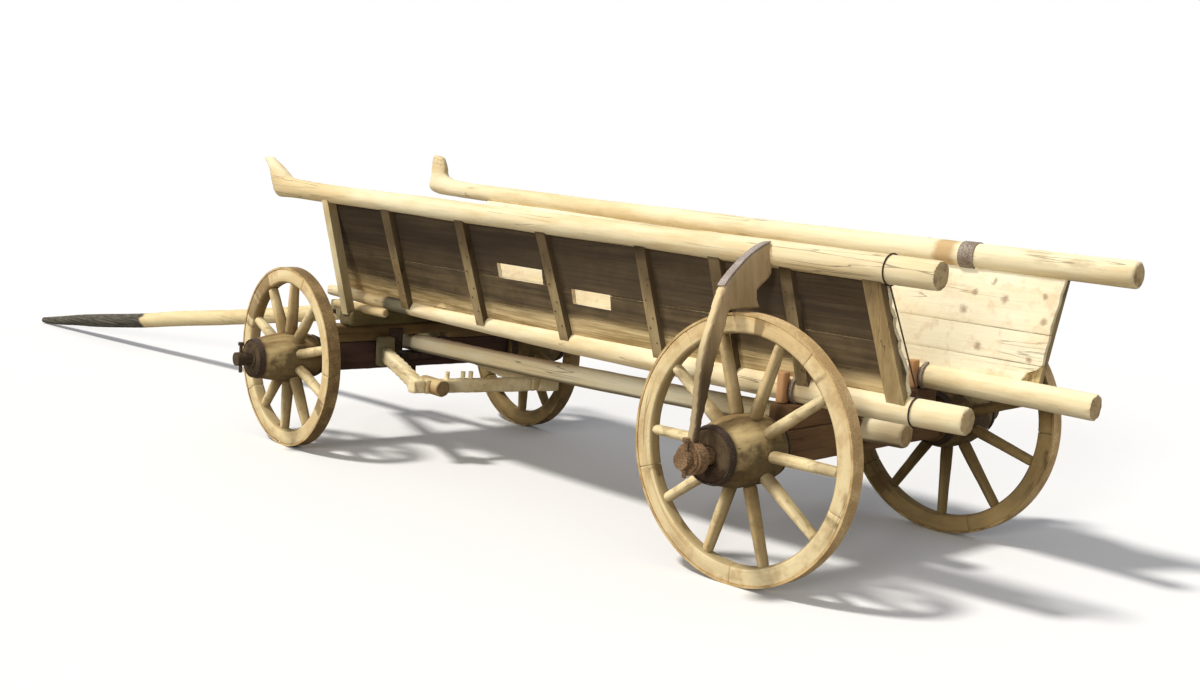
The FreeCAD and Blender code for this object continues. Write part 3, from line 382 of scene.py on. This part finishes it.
def prop_painted_light(outer_sign):
    """A prop is painted paler on its outer and front edges, as sunlight, and painted dark towards its foot,
    as shade.
    """
    def tint(finish, colour, grain):
        x, y, z = finish.parts(finish.facing)
        height = finish.parts(finish.place)[2]
        ragged = finish.noise(grain(finish, 3.0, 14.0), detail=3.0)
        sunlit_edges = finish.step(y * outer_sign * 0.6 + x * 0.8, 0.15, 0.65)
        pale = finish.mix(ragged, shade(226, 200, 146), shade(248, 234, 194))
        colour = finish.mix(sunlit_edges * 0.85, colour, pale)
        foot = 1.0 - finish.step(height + (ragged - 0.5) * 0.2, 0.74, 0.99)
        return finish.mix(foot * (0.85 - sunlit_edges * 0.35), colour, shade(64, 46, 30))
    return tint


def rim_stains_and_shade(wheel):
    """A rim is painted dark on its inner face, as shade, and holds brown patches, some of them right across
    its width: stains that also stand in for the shadows of the prop and stakes.
    """
    centre, heading = WHEELS[wheel]

    def tint(finish, colour, grain):
        x, y, z, radius = finish.about_wheel(wheel)
        across = finish.joined(x / radius, z / radius, y * 2.0)
        bands = finish.noise((across, centre.x + centre.y), 2.6, 3.0, 0.5)
        soft = finish.noise((finish.place, 5.0), 13.0, 4.0, 0.6)
        outward = finish.parts(finish.moved(finish.facing, (0, 0, 0), (0, 0, -heading)))
        shaded_inner_face = finish.step(-(outward[0] * x + outward[2] * z) / radius, 0.35, 0.8)
        colour = finish.mix(shaded_inner_face * 0.6, colour, shade(112, 94, 56))
        colour = finish.mix(finish.step(soft, 0.46, 0.66) * 0.45, colour, shade(178, 142, 94))
        stain_and_shadow_blocks = finish.step(bands + (soft - 0.5) * 0.12, 0.60, 0.64)
        return finish.mix(stain_and_shadow_blocks * 0.7, colour, shade(118, 92, 56))
    return tint


def hound_axle_shade(finish, colour, grain):
    """The hounds are painted grey-green where they enter the front axle, as shade."""
    x, y, z = finish.parts(finish.moved(finish.place, steered(0, 0, 0), (0, 0, -STEER)))
    ragged = finish.noise((finish.place, 3.0), 20.0, 3.0)
    shaded_end = finish.step(x + (ragged - 0.5) * 0.08, -0.20, -0.13)
    return finish.mix(shaded_end * 0.85, colour, finish.mix(ragged, shade(84, 80, 58), shade(132, 124, 90)))


def spoke_grime_and_shade(wheel):
    """Spokes are dirtier towards the nave, and painted darker behind, as shade."""
    def tint(finish, colour, grain):
        radius = finish.about_wheel(wheel)[3]
        ragged = finish.noise((finish.place, 2.0), 22.0, 3.0)
        near_nave = 1.0 - finish.step(radius + (ragged - 0.5) * 0.2, 0.14, 0.27)
        grimy = near_nave * 0.65 + finish.step(ragged, 0.50, 0.66) * 0.35
        colour = finish.mix(finish.looks_back(0.10, 0.75) * 0.55, colour, shade(120, 98, 58))
        return finish.mix(grimy, colour, shade(110, 88, 52))
    return tint


def pole_tip(finish, colour, grain):
    """The draught pole is grey-black from the end of its peeled length forward."""
    along = finish.parts(finish.place)[0]
    ragged = finish.noise(grain(finish, 3.0, 30.0), detail=3.0)
    fibres = finish.noise(grain(finish, 3.0, 110.0), detail=4.0, roughness=0.65)
    worn = finish.mix(finish.step(fibres, 0.40, 0.66), shade(62, 58, 50), shade(112, 108, 94))
    tip = finish.step(along + ragged * 0.10, PEELED_END + 0.03, PEELED_END + 0.07)
    return finish.mix(tip, colour, worn)


def rail_patch(low, high, colour, strength=0.9, soft=0.02):
    """A patch of colour round a rail between two places along the cart."""
    def tint(finish, wood, grain):
        along = finish.parts(finish.place)[0]
        ragged = finish.noise(grain(finish, 9.0, 24.0), detail=3.0)
        mask = finish.within(along + (ragged - 0.5) * 0.05, low, high, soft)
        return finish.mix(mask * strength, wood, colour)
    return tint


def shaded_behind(finish, colour, grain):
    """The front standards are painted browner on their rear faces, as shade."""
    return finish.mix(finish.looks_back(0.35, 0.80) * 0.7, colour, shade(120, 99, 64))


def perch_shade_and_weather(finish, colour, grain):
    """The perch is painted dark below and pinkish brown on top near the front, both as shade, and is brown at
    its rear end.
    """
    ragged = finish.noise(grain(finish, 3.0, 14.0), detail=3.0) - 0.5
    upward = finish.parts(finish.facing)[2] + ragged * 0.3
    along = finish.parts(finish.place)[0]
    below = 1.0 - finish.step(upward, -0.75, -0.35)
    above = finish.step(upward, 0.55, 0.85) * finish.step(along + ragged * 0.3, -1.50, -1.30)
    tail = 1.0 - finish.step(along + ragged * 0.15, -3.16, -3.02)
    colour = finish.mix(above * 0.6, colour, shade(186, 148, 116))
    colour = finish.mix(tail * 0.5, colour, shade(150, 116, 72))
    return finish.mix(below * 0.8, colour, shade(96, 76, 48))


CREAM = shade(250, 237, 200)
SAND = shade(230, 206, 158)
UMBER = shade(142, 106, 66)
RAIL_END = shade(196, 168, 118)
LOW_RAIL_END = shade(190, 160, 110)
# A dark grey-green patch round the left lower rail.
NEAR_DARK_PATCH = rail_patch(-0.640, -0.438, shade(78, 78, 62))
BAND_RUST = rail_patch(-3.062, -2.972, shade(184, 140, 80), 0.7)
FRONT_ALONG = straight_grain((0, 0, -STEER), 3.1)
FRONT_ACROSS = straight_grain((0, 0, math.pi / 2 - STEER))

left_top_wood = weathered_wood("left_top_rail_wood", ALONG_X, CREAM, SAND, UMBER, end_grain=RAIL_END)
right_top_wood = weathered_wood("right_top_rail_wood", ALONG_X, CREAM, SAND, UMBER, tint=BAND_RUST,
                                end_grain=RAIL_END)
left_low_wood = weathered_wood("left_low_rail_wood", ALONG_X, CREAM, SAND, UMBER, stain=0.5, tint=NEAR_DARK_PATCH,
                               end_grain=LOW_RAIL_END)
right_low_wood = weathered_wood("right_low_rail_wood", ALONG_X, CREAM, SAND, UMBER, stain=0.5,
                                end_grain=LOW_RAIL_END)
# The perch's wood is painted brighter than the rails', as sunlight reaching under the bed.
perch_wood = weathered_wood("perch_wood", ALONG_X, shade(255, 247, 216), shade(246, 228, 184), UMBER,
                            stain=0.4, tint=perch_shade_and_weather, end_grain=shade(176, 144, 96))
beam_wood = weathered_wood("beam_wood", FRONT_ALONG, shade(248, 234, 192), shade(224, 198, 148),
                           shade(120, 88, 54), stain=0.6)
hound_wood = weathered_wood("hound_wood", FRONT_ALONG, shade(248, 234, 192), shade(220, 194, 144),
                            shade(120, 88, 54), stain=0.6, tint=hound_axle_shade)
log_wood = weathered_wood("packing_log_wood", ALONG_X, shade(238, 222, 180), shade(210, 184, 134), UMBER,
                          end_grain=shade(180, 150, 104))
# Battens and end posts are painted dark behind and under the top rail, as shade.
batten_wood = weathered_wood("batten_wood", ALONG_Z, shade(176, 156, 116), shade(138, 116, 80),
                             shade(72, 56, 38), tint=painted_rail_shade(0.90, 1.06, shade(84, 68, 47)))
post_wood = weathered_wood("post_wood", ALONG_Z, shade(206, 184, 136), shade(158, 132, 90), shade(80, 62, 40),
                           tint=painted_rail_shade(1.00, 1.12, shade(96, 78, 52), strength=0.7, behind=0.3))
standard_wood = weathered_wood("standard_wood", ALONG_Z, shade(244, 230, 188), shade(214, 190, 140),
                               shade(104, 78, 48), tint=shaded_behind)
prop_woods = {side: weathered_wood(side + "_prop_wood", ALONG_Z, shade(200, 176, 136), shade(166, 142, 106),
                                   shade(80, 60, 42), stain=0.6, tint=prop_painted_light(sign))
              for side, sign in (("left", 1), ("right", -1))}
bed_wood = weathered_wood("bed_wood", ALONG_X, shade(206, 184, 144), shade(160, 134, 94), shade(88, 64, 40))
bearer_wood = weathered_wood("bearer_wood", ALONG_Y, shade(150, 122, 82), shade(106, 80, 52),
                             shade(52, 38, 26))
axle_wood = weathered_wood("axle_wood", ALONG_Y, shade(122, 92, 60), shade(82, 56, 38), shade(46, 30, 22))
clamp_wood = weathered_wood("clamp_wood", ALONG_Z, shade(210, 164, 118), shade(172, 122, 82),
                            shade(96, 64, 42))
pin_wood = weathered_wood("tail_pin_wood", FRONT_ALONG, shade(214, 190, 142), shade(166, 134, 88),
                          shade(84, 62, 40), stain=0.7, end_grain=shade(120, 94, 62))
front_wood = weathered_wood("front_axle_wood", FRONT_ACROSS, shade(84, 60, 50), shade(56, 37, 34),
                            shade(36, 24, 23))
lower_wood = weathered_wood("lower_bolster_wood", FRONT_ACROSS, shade(142, 118, 78), shade(102, 80, 50),
                            shade(54, 38, 26), stain=0.6)
bolster_wood = weathered_wood("front_bolster_wood", ALONG_Y, shade(126, 114, 78), shade(88, 78, 52),
                              shade(52, 42, 28), stain=0.6)
pole_wood = weathered_wood("pole_wood", ALONG_X, shade(236, 218, 172), shade(214, 188, 136),
                           shade(128, 98, 62), tint=pole_tip)
left_boards = greyed_boards_with_painted_light("left_board_wood", 1.0)
right_boards = greyed_boards_with_painted_light("right_board_wood", -1.0)


def nave_tint(wheel):
    """A nave is dark below and towards the cart, grease with painted shade, keeps its paler wood on top of
    its outer half, and is black at its end.
    """
    side = 1 if wheel.endswith("left") else -1

    def tint(finish, colour, grain):
        x, y, z, radius = finish.about_wheel(wheel)
        outward = y * side
        ragged = finish.noise((finish.place, 1.0), 16.0, 3.0)
        dark = finish.mix(finish.step(ragged, 0.40, 0.60), shade(54, 40, 24), shade(96, 76, 44))
        greased_and_shaded = 1.0 - finish.step(outward * 0.5 + z + (ragged - 0.5) * 0.30, 0.02, 0.12)
        colour = finish.mix(greased_and_shaded * 0.8, colour, dark)
        outer_end = finish.step(outward + (ragged - 0.5) * 0.02, NAVE_END - 0.03, NAVE_END)
        return finish.mix(outer_end * 0.85, colour, shade(52, 34, 24))
    return tint


def wheel_woods(wheel):
    """Finishes of one wheel's rim, spokes and nave."""
    near = wheel.endswith("left")
    # The far wheels' wood is painted darker, as the shade of the cart body.
    light = shade(244, 226, 180) if near else shade(166, 142, 96)
    middle = shade(216, 186, 134) if near else shade(102, 85, 54)
    dark = shade(152, 116, 72) if near else shade(54, 46, 32)
    rim = weathered_wood(wheel + "_rim_wood", wheel_grain(wheel, True), light, middle, dark,
                         stain=0.75 if near else 0.85, knot=0.2, crack=0.3, tint=rim_stains_and_shade(wheel))
    spokes = weathered_wood(wheel + "_spoke_wood", wheel_grain(wheel, False, 1.7), light, middle,
                            shade(104, 80, 46), stain=0.7, knot=0.1, crack=0.3, tint=spoke_grime_and_shade(wheel))
    nave = weathered_wood(wheel + "_nave_wood", straight_grain((0, 0, math.pi / 2 - WHEELS[wheel][1]), 5.3),
                          shade(216, 192, 140), shade(128, 103, 64), shade(58, 42, 26), stain=0.9, crack=0.5,
                          tint=nave_tint(wheel))
    return {"felloes": rim, "spokes": spokes, "nave": nave}


# Iron

def rusty_iron(name, light, middle, dark, depth=0.0006, sheen=0.4):
    """Forged iron with rust in patches and pits."""
    finish = Finish(name)
    place = (finish.place, 0.0)
    patches = finish.noise(place, 17.0, 4.0, 0.6)
    grains = finish.noise(place, 240.0, 4.0, 0.65)
    colour = finish.mix(finish.step(patches, 0.38, 0.62), middle, light)
    colour = finish.mix(finish.step(grains, 0.38, 0.62), dark, colour)
    return finish.surface(colour, 0.62 + patches * 0.25, grains * 0.6 + patches * 0.4, depth,
                          finish.step(patches, 0.50, 0.68) * sheen)


def tyre_dust_and_shade(wheel):
    """Tyre iron: road dust on its sides, painted darker on the far wheels as shade; a brown tread painted
    paler on the rear wheels and darker on the front ones, as light and shade.
    """
    heading = WHEELS[wheel][1]
    near = wheel.endswith("left")
    rear = wheel.startswith("rear")
    dust_dark = shade(186, 152, 102) if near else shade(120, 100, 66)
    dust_pale = shade(222, 196, 144) if near else shade(178, 152, 106)
    tread_dark = shade(200, 168, 118) if rear else shade(134, 110, 74)
    tread_pale = shade(232, 202, 152) if rear else shade(172, 144, 100)
    pitted = shade(170, 138, 95) if rear else shade(100, 80, 52)

    finish = Finish(wheel + "_tyre_iron")
    place = (finish.place, 0.0)
    sideways = finish.parts(finish.moved(finish.facing, (0, 0, 0), (0, 0, -heading)))[1]
    patches = finish.noise(place, 11.0, 4.0, 0.6)
    grains = finish.noise(place, 150.0, 4.0, 0.65)
    dust = finish.mix(finish.step(patches, 0.38, 0.60), dust_dark, dust_pale)
    tread = finish.mix(finish.step(patches, 0.40, 0.62), tread_dark, tread_pale)
    tread = finish.mix(finish.step(grains, 0.36, 0.58) * 0.6 + 0.4, pitted, tread)
    colour = finish.mix(finish.step(abs(sideways), 0.5, 0.8), tread, dust)
    return finish.surface(colour, 0.68 + patches * 0.2, grains * 0.5 + patches * 0.5, 0.0008, 0.25)


rust = rusty_iron("rusty_iron", shade(184, 150, 112), shade(140, 108, 76), shade(84, 64, 46), sheen=0.25)
hub_rust = rusty_iron("hub_rusty_iron", shade(118, 98, 70), shade(78, 62, 44), shade(42, 34, 26))
dark_iron = rusty_iron("dark_iron", shade(96, 78, 62), shade(66, 50, 40), shade(38, 28, 24))
nail_iron = rusty_iron("nail_iron", shade(128, 105, 74), shade(108, 87, 60), shade(84, 67, 46), sheen=0.1)
strap_iron = rusty_iron("strap_iron", shade(200, 190, 184), shade(170, 158, 150), shade(132, 118, 112),
                        depth=0.0003, sheen=0.5)
band_iron = rusty_iron("band_iron", shade(186, 178, 168), shade(152, 140, 126), shade(112, 92, 74),
                       depth=0.0003, sheen=0.5)


# Timbers that keep the marks of axe, saw and weather

SAME_POINT = 1e-5
SHARP_EDGE = math.radians(42)
FLAT_SEAM = math.radians(0.5)
SAWN_CORNER = math.radians(30)
# A fine ripple lies over the broad hollows: its share of their depth, and its waves for each of theirs
RIPPLE = 0.4
RIPPLE_WAVES = 4
# How much faster the hollows change across a timber than along it, by the way that the timber lies
LENGTHWISE = (1.0, 6.0, 6.0)
CROSSWISE = (6.0, 1.5, 6.0)
UPRIGHT = (6.0, 6.0, 1.5)
LEANING = (6.0, 6.0, 2.0)
ROUND = (1.0, 2.0, 1.0)
EVEN = (1.0, 1.0, 1.0)
# The side boards' edges reach into the gap below the top rail and above the lower rail
SIDE_LEAN = 0.185
BOARD_EDGE = 0.012
TOP_GAP = 0.005
TOP_GAP_GROWTH = 0.024
FOOT_GAP = 0.003
FOOT_GAP_GROWTH = 0.012


def merged_copy(node):
    """A CAD solid's mesh with its loose triangles joined."""
    shape = bmesh.new()
    shape.from_mesh(frame["nodes"][node].data)
    bmesh.ops.remove_doubles(shape, verts=shape.verts, dist=SAME_POINT)
    return shape


def loose_parts(shape):
    """The vertices of each solid in a mesh, solid by solid."""
    met = set()
    for first in shape.verts:
        if first in met:
            continue
        met.add(first)
        part = [first]
        for vertex in part:
            for edge in vertex.link_edges:
                other = edge.other_vert(vertex)
                if other not in met:
                    met.add(other)
                    part.append(other)
        yield part


def even_mesh(shape, cell):
    """The same solid with an even net of faces."""
    mesh = bpy.data.meshes.new("net")
    shape.to_mesh(mesh)
    piece = bpy.data.objects.new("net", mesh)
    bpy.context.collection.objects.link(piece)
    remesh = piece.modifiers.new("even", "REMESH")
    remesh.mode = "VOXEL"
    remesh.voxel_size = cell
    evaluated = piece.evaluated_get(bpy.context.evaluated_depsgraph_get())
    net = bpy.data.meshes.new_from_object(evaluated)
    bpy.data.objects.remove(piece)
    bpy.data.meshes.remove(mesh)
    return net


def seated(name, shape, finish, body, slot, *nodes):
    """A finished piece on its body, in place of the plain solids that it stands for."""
    for face in shape.faces:
        face.smooth = True
    mesh = bpy.data.meshes.new(name)
    shape.to_mesh(mesh)
    shape.free()
    mesh.set_sharp_from_angle(angle=SHARP_EDGE)
    mesh.materials.append(finish)
    piece = bpy.data.objects.new(name, mesh)
    bpy.context.collection.objects.link(piece)
    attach(piece, body)
    if nodes:
        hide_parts(*nodes)


def worn(shape, box, dent, waves, grain, swell=0.0):
    """Moves a timber's skin in hollows and humps that follow its grain, inside a box."""
    shape.normal_update()
    low, high = box
    for vertex in shape.verts:
        spot = Vector(place * stretch for place, stretch in zip(vertex.co, grain))
        rise = noise.noise(spot * waves) + RIPPLE * noise.noise(spot * waves * RIPPLE_WAVES)
        moved = vertex.co + vertex.normal * (rise * dent + swell)
        vertex.co = Vector(min(max(place, least), most) for place, least, most in zip(moved, low, high))


def hewn(node, finish, cell, dent, waves=2.0, grain=LENGTHWISE, swell=0.0, smoothing=2):
    """A round or axe-cut timber: an even net over each solid, smoothed and worn."""
    whole = merged_copy(node)
    skin = bmesh.new()
    for part in list(loose_parts(whole)):
        single = whole.copy()
        kept = {vertex.index for vertex in part}
        others = [vertex for vertex in single.verts if vertex.index not in kept]
        bmesh.ops.delete(single, geom=others, context="VERTS")
        net = even_mesh(single, cell)
        skin.from_mesh(net)
        bpy.data.meshes.remove(net)
        single.free()
    whole.free()
    for _ in range(smoothing):
        bmesh.ops.smooth_vert(skin, verts=skin.verts, factor=0.5, use_axis_x=True, use_axis_y=True,
                              use_axis_z=True)
    worn(skin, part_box(node), dent, waves, grain, swell)
    seated(node + "_hewn", skin, finish, BODY_OF[node], SLOT_OF[node], node)


def scribed(shape, box):
    """Draws the boards' upper and lower edges out to the rails, whose gap grows towards the front."""
    low, high = box
    lean = math.copysign(SIDE_LEAN, low.y + high.y)
    for vertex in shape.verts:
        share = (vertex.co.x - low.x) / (high.x - low.x)
        if vertex.co.z > high.z - BOARD_EDGE:
            rise = TOP_GAP + TOP_GAP_GROWTH * share
        elif vertex.co.z < low.z + BOARD_EDGE:
            rise = -FOOT_GAP - FOOT_GAP_GROWTH * share
        else:
            continue
        vertex.co += Vector((0, lean * rise, rise))


def rounded(shape, sides, edge):
    """Rounds some of a shape's edges."""
    bmesh.ops.bevel(shape, geom=sides, offset=edge, segments=2, profile=0.5, affect="EDGES",
                    clamp_overlap=True, material=-1)


def sawn(node, finish, edge, dent, slices=(0, 0, 0), waves=2.0, grain=LENGTHWISE, swell=0.0, fitted=None):
    """A sawn piece: its edges rounded by wear, and its faces cut into strips that warp a little."""
    shape = merged_copy(node)
    bmesh.ops.dissolve_limit(shape, angle_limit=FLAT_SEAM, verts=shape.verts, edges=shape.edges)
    folds = [side for side in shape.edges if len(side.link_faces) == 2]
    rounded(shape, [side for side in folds if side.calc_face_angle(0) > SAWN_CORNER], edge)
    low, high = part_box(node)
    for axis, pitch in enumerate(slices):
        if not pitch:
            continue
        across = Vector((axis == 0, axis == 1, axis == 2))
        for number in range(1, int((high[axis] - low[axis]) / pitch)):
            bmesh.ops.bisect_plane(shape, geom=shape.verts[:] + shape.edges[:] + shape.faces[:], dist=1e-6,
                                   plane_co=across * (low[axis] + number * pitch), plane_no=across)
    bmesh.ops.triangulate(shape, faces=[face for face in shape.faces if len(face.verts) > 4])
    if fitted:
        fitted(shape, (low, high))
    worn(shape, cad_box if fitted else (low, high), dent, waves, grain, swell)
    seated(node + "_sawn", shape, finish, BODY_OF[node], SLOT_OF[node], node)


def dress(node, finish):
    """Gives its finish to a CAD solid that shows as it is."""
    for slot in frame["nodes"][node].material_slots:
        slot.link = "OBJECT"
        slot.material = finish


RAIL_FINISHES = {"top_rail_left": left_top_wood, "top_rail_right": right_top_wood,
                 "lower_rail_left": left_low_wood, "lower_rail_right": right_low_wood}
BEAM_FINISHES = {"rear_axle_beam": axle_wood, "rear_bolster": axle_wood, "front_bolster": bolster_wood,
                 "front_axle_beam": front_wood, "lower_bolster": lower_wood}

for node, finish in RAIL_FINISHES.items():
    hewn(node, finish, cell=0.010, dent=0.0035, waves=1.6)
for side, boards in (("left", left_boards), ("right", right_boards)):
    sawn("battens_" + side, batten_wood, edge=0.003, dent=0.0015, slices=(0, 0, 0.04), grain=UPRIGHT)
    sawn("end_post_" + side, post_wood, edge=0.003, dent=0.0015, slices=(0, 0, 0.04), grain=UPRIGHT)
    sawn("side_boards_" + side, boards, edge=0.0015, dent=0.0015, slices=(0.05, 0, 0.02), waves=1.6,
         swell=0.0009, fitted=scribed)
    hewn("side_prop_" + side, prop_woods[side], cell=0.006, dent=0.0015, grain=LEANING, smoothing=3)
sawn("front_standards", standard_wood, edge=0.003, dent=0.0015, slices=(0, 0, 0.04), grain=UPRIGHT)
hewn("perch_pole", perch_wood, cell=0.010, dent=0.003, waves=1.6)
hewn("draught_pole", pole_wood, cell=0.010, dent=0.002, waves=1.6)
hewn("packing_logs", log_wood, cell=0.006, dent=0.0015, waves=3.0)
hewn("hounds", hound_wood, cell=0.009, dent=0.003)
hewn("sway_bar", beam_wood, cell=0.009, dent=0.002, grain=CROSSWISE)
hewn("sway_tail_pin", pin_wood, cell=0.005, dent=0.001)
hewn("bolster_stakes", clamp_wood, cell=0.006, dent=0.002, grain=UPRIGHT)
for node, finish in BEAM_FINISHES.items():
    hewn(node, finish, cell=0.009, dent=0.003, grain=CROSSWISE)
hewn("bed_bearers", bearer_wood, cell=0.009, dent=0.002, grain=CROSSWISE)
sawn("bed_boards", bed_wood, edge=0.002, dent=0.0012, slices=(0.06, 0, 0), waves=1.6)

for wheel in WHEELS:
    woods = wheel_woods(wheel)
    sawn(wheel + "_felloes", woods["felloes"], edge=0.004, dent=0.001, waves=6.0, grain=ROUND, swell=0.0003)
    hewn(wheel + "_spokes", woods["spokes"], cell=0.006, dent=0.0015, waves=6.0, grain=ROUND, swell=0.0020)
    hewn(wheel + "_nave", woods["nave"], cell=0.007, dent=0.002, waves=4.0, grain=EVEN)
    dress(wheel + "_nave_bands", dark_iron)
    dress(wheel + "_tyre", tyre_dust_and_shade(wheel))

dress("sway_pegs", beam_wood)
dress("prop_straps", strap_iron)
dress("rail_bands", band_iron)
dress("stay_wire", dark_iron)
for node in ("prop_rings", "rear_axle_arms", "rear_linch_pins", "rear_washers"):
    dress(node, rust)
for node in ("kingpin", "front_axle_arms", "front_linch_pins", "front_washers", "pole_pin"):
    dress(node, hub_rust)


# Nails, irons and a wedge

NAIL_RADIUS = 0.0045
NAIL_RISE = 0.002
NAIL_SIDES = 7
NAIL_DOME = ((0, 1.0), (0.55, 0.85), (1.0, 0.1), (0.8, -1.0))
NAIL_SHARES = (0.14, 0.27, 0.36, 0.52, 0.66, 0.80)
NAIL_ASIDE = 0.011
BATTEN_END = 0.03
SAME_NAIL_POINT = 1e-6
# Bars of the fore-carriage: two corners, given about the front axle's middle, and the rounding of the edges
AXLE_IRONS = (((-0.066, 0.110, 0.443), (-0.054, 0.186, 0.554), 0.002),
              ((-0.068, -0.100, 0.392), (0.054, 0.116, 0.4232), 0.003),
              ((-0.074, 0.136, 0.410), (-0.056, 0.180, 0.470), 0.004))
WEDGE = ((-0.118, 0.182, 0.372), (-0.056, 0.262, 0.518), 0.012)


def nail_head():
    """A hand-forged nail head, spun from a low dome."""
    head = bmesh.new()
    profile = [head.verts.new((across * NAIL_RADIUS, 0, up * NAIL_RISE)) for across, up in NAIL_DOME]
    slopes = [head.edges.new(pair) for pair in zip(profile, profile[1:])]
    bmesh.ops.spin(head, geom=profile + slopes, cent=(0, 0, 0), axis=(0, 0, 1), angle=math.tau,
                   steps=NAIL_SIDES, use_merge=True)
    bmesh.ops.remove_doubles(head, verts=head.verts, dist=SAME_NAIL_POINT)
    bmesh.ops.recalc_face_normals(head, faces=head.faces)
    return head


def nail_heads(name, places, body):
    """Nail heads at places given as (place, facing)."""
    head = nail_head()
    heads = bmesh.new()
    for place, facing in places:
        one = head.copy()
        turn = facing.to_track_quat("Z", "Y").to_matrix().to_4x4()
        bmesh.ops.transform(one, matrix=Matrix.Translation(place) @ turn, verts=one.verts)
        mesh = bpy.data.meshes.new("head")
        one.to_mesh(mesh)
        heads.from_mesh(mesh)
        bpy.data.meshes.remove(mesh)
        one.free()
    head.free()
    seated(name, heads, nail_iron, body, "rusty_iron")


def batten_nails(side, sign):
    """Places of the nails that hold the boards to each batten, with the way their heads face."""
    whole = merged_copy("battens_" + side)
    places = []
    for part in loose_parts(whole):
        corners = [vertex.co for vertex in part]
        top = max(corner.z for corner in corners)
        foot = min(corner.z for corner in corners)
        ends = []
        for level in (foot, top):
            near = [corner for corner in corners if abs(corner.z - level) < BATTEN_END]
            middle = (min(corner.x for corner in near) + max(corner.x for corner in near)) / 2
            ends.append(Vector((middle, sign * max(corner.y * sign for corner in near), level)))
        line = ends[1] - ends[0]
        facing = Vector((0, sign * line.z, -line.y)).normalized()
        for number, share in enumerate(NAIL_SHARES):
            aside = Vector((NAIL_ASIDE if number % 2 else -NAIL_ASIDE, 0, 0))
            places.append((ends[0] + line * share + aside, facing))
    whole.free()
    return places


def forged_bar(shape, low, high, edge):
    """A flat bar between two corners, with its edges rounded."""
    bar = bmesh.ops.create_cube(shape, size=1)["verts"]
    size = Vector(high) - Vector(low)
    bmesh.ops.scale(shape, vec=size, verts=bar)
    bmesh.ops.translate(shape, vec=(Vector(high) + Vector(low)) / 2, verts=bar)
    rounded(shape, [side for side in shape.edges if side.verts[0] in bar], edge)


def to_carriage(shape):
    """Moves a shape from the front axle's middle to its place on the turned fore-carriage."""
    turn = Matrix.Rotation(STEER, 4, "Z")
    bmesh.ops.transform(shape, matrix=Matrix.Translation((FRONT_AXLE, 0, 0)) @ turn, verts=shape.verts)


def axle_irons():
    """Plates on the front axle: two by the left hound and, second, one on which the perch slides."""
    shape = bmesh.new()
    for low, high, edge in AXLE_IRONS:
        forged_bar(shape, low, high, edge)
    to_carriage(shape)
    seated("front_axle_irons", shape, dark_iron, "fore_carriage", "rusty_iron")


def hound_wedge():
    """A block of old timber that fills the corner between the left hound, the axle and the bolster."""
    shape = bmesh.new()
    forged_bar(shape, *WEDGE)
    to_carriage(shape)
    bmesh.ops.subdivide_edges(shape, edges=shape.edges, cuts=3, use_grid_fill=True)
    worn(shape, cad_box, dent=0.004, waves=3.0, grain=UPRIGHT)
    seated("hound_wedge", shape, hound_wood, "fore_carriage", "rail_wood")


axle_irons()
hound_wedge()
for side, sign in (("left", 1), ("right", -1)):
    nail_heads("batten_nails_" + side, batten_nails(side, sign), "bed")


# Floor and backdrop

WHITE = (1.0, 1.0, 1.0, 1.0)
PALE_FLOOR = (0.93, 0.935, 0.96, 1.0)
DULL_FLOOR = (0.30, 0.28, 0.25, 1.0)
SKY_LIGHT = (0.95, 0.97, 1.0, 1.0)
SKY_STRENGTH = 0.34
FADE_START = 4.5
FADE_END = 8.0
FLOOR_REACH = 40


def floor_finish():
    """Pale floor that fades to plain white away from the cart and throws little light back up."""
    finish = Finish("floor_paint")
    x, y, z = finish.parts(finish.place)
    fade = finish.step(finish.distance(x, y), FADE_START, FADE_END)
    matt = finish.node("ShaderNodeBsdfDiffuse", {}, {"Color": PALE_FLOOR})
    dull = finish.node("ShaderNodeBsdfDiffuse", {}, {"Color": DULL_FLOOR})
    white = finish.node("ShaderNodeEmission", {}, {"Color": WHITE, "Strength": 1.0})
    seen = finish.node("ShaderNodeLightPath", {}, {}, "Is Camera Ray")
    near = finish.node("ShaderNodeMixShader", {}, {0: fade, 1: matt, 2: white})
    shown = finish.node("ShaderNodeMixShader", {}, {0: seen, 1: dull, 2: near})
    finish.node("ShaderNodeOutputMaterial", {}, {"Surface": shown})
    return finish.material


def lay_floor():
    ground = bmesh.new()
    bmesh.ops.create_grid(ground, x_segments=1, y_segments=1, size=FLOOR_REACH)
    mesh = bpy.data.meshes.new("floor")
    ground.to_mesh(mesh)
    ground.free()
    mesh.materials.append(floor_finish())
    floor = bpy.data.objects.new("floor", mesh)
    bpy.context.collection.objects.link(floor)


def white_world():
    """A plain white surround, seen and mirrored as white, that lights the cart softly."""
    world = bpy.data.worlds.new("studio")
    bpy.context.scene.world = world
    network = Network(world)
    seen = network.node("ShaderNodeLightPath", {}, {}, "Is Camera Ray")
    for ray in ("Is Glossy Ray", "Is Transmission Ray"):
        seen = network.maths("MAXIMUM", seen, network.node("ShaderNodeLightPath", {}, {}, ray))
    white = network.node("ShaderNodeBackground", {}, {"Color": WHITE, "Strength": 1.0})
    sky = network.node("ShaderNodeBackground", {}, {"Color": SKY_LIGHT, "Strength": SKY_STRENGTH})
    mixed = network.node("ShaderNodeMixShader", {}, {0: seen, 1: sky, 2: white})
    network.node("ShaderNodeOutputWorld", {}, {"Surface": mixed})


lay_floor()
white_world()
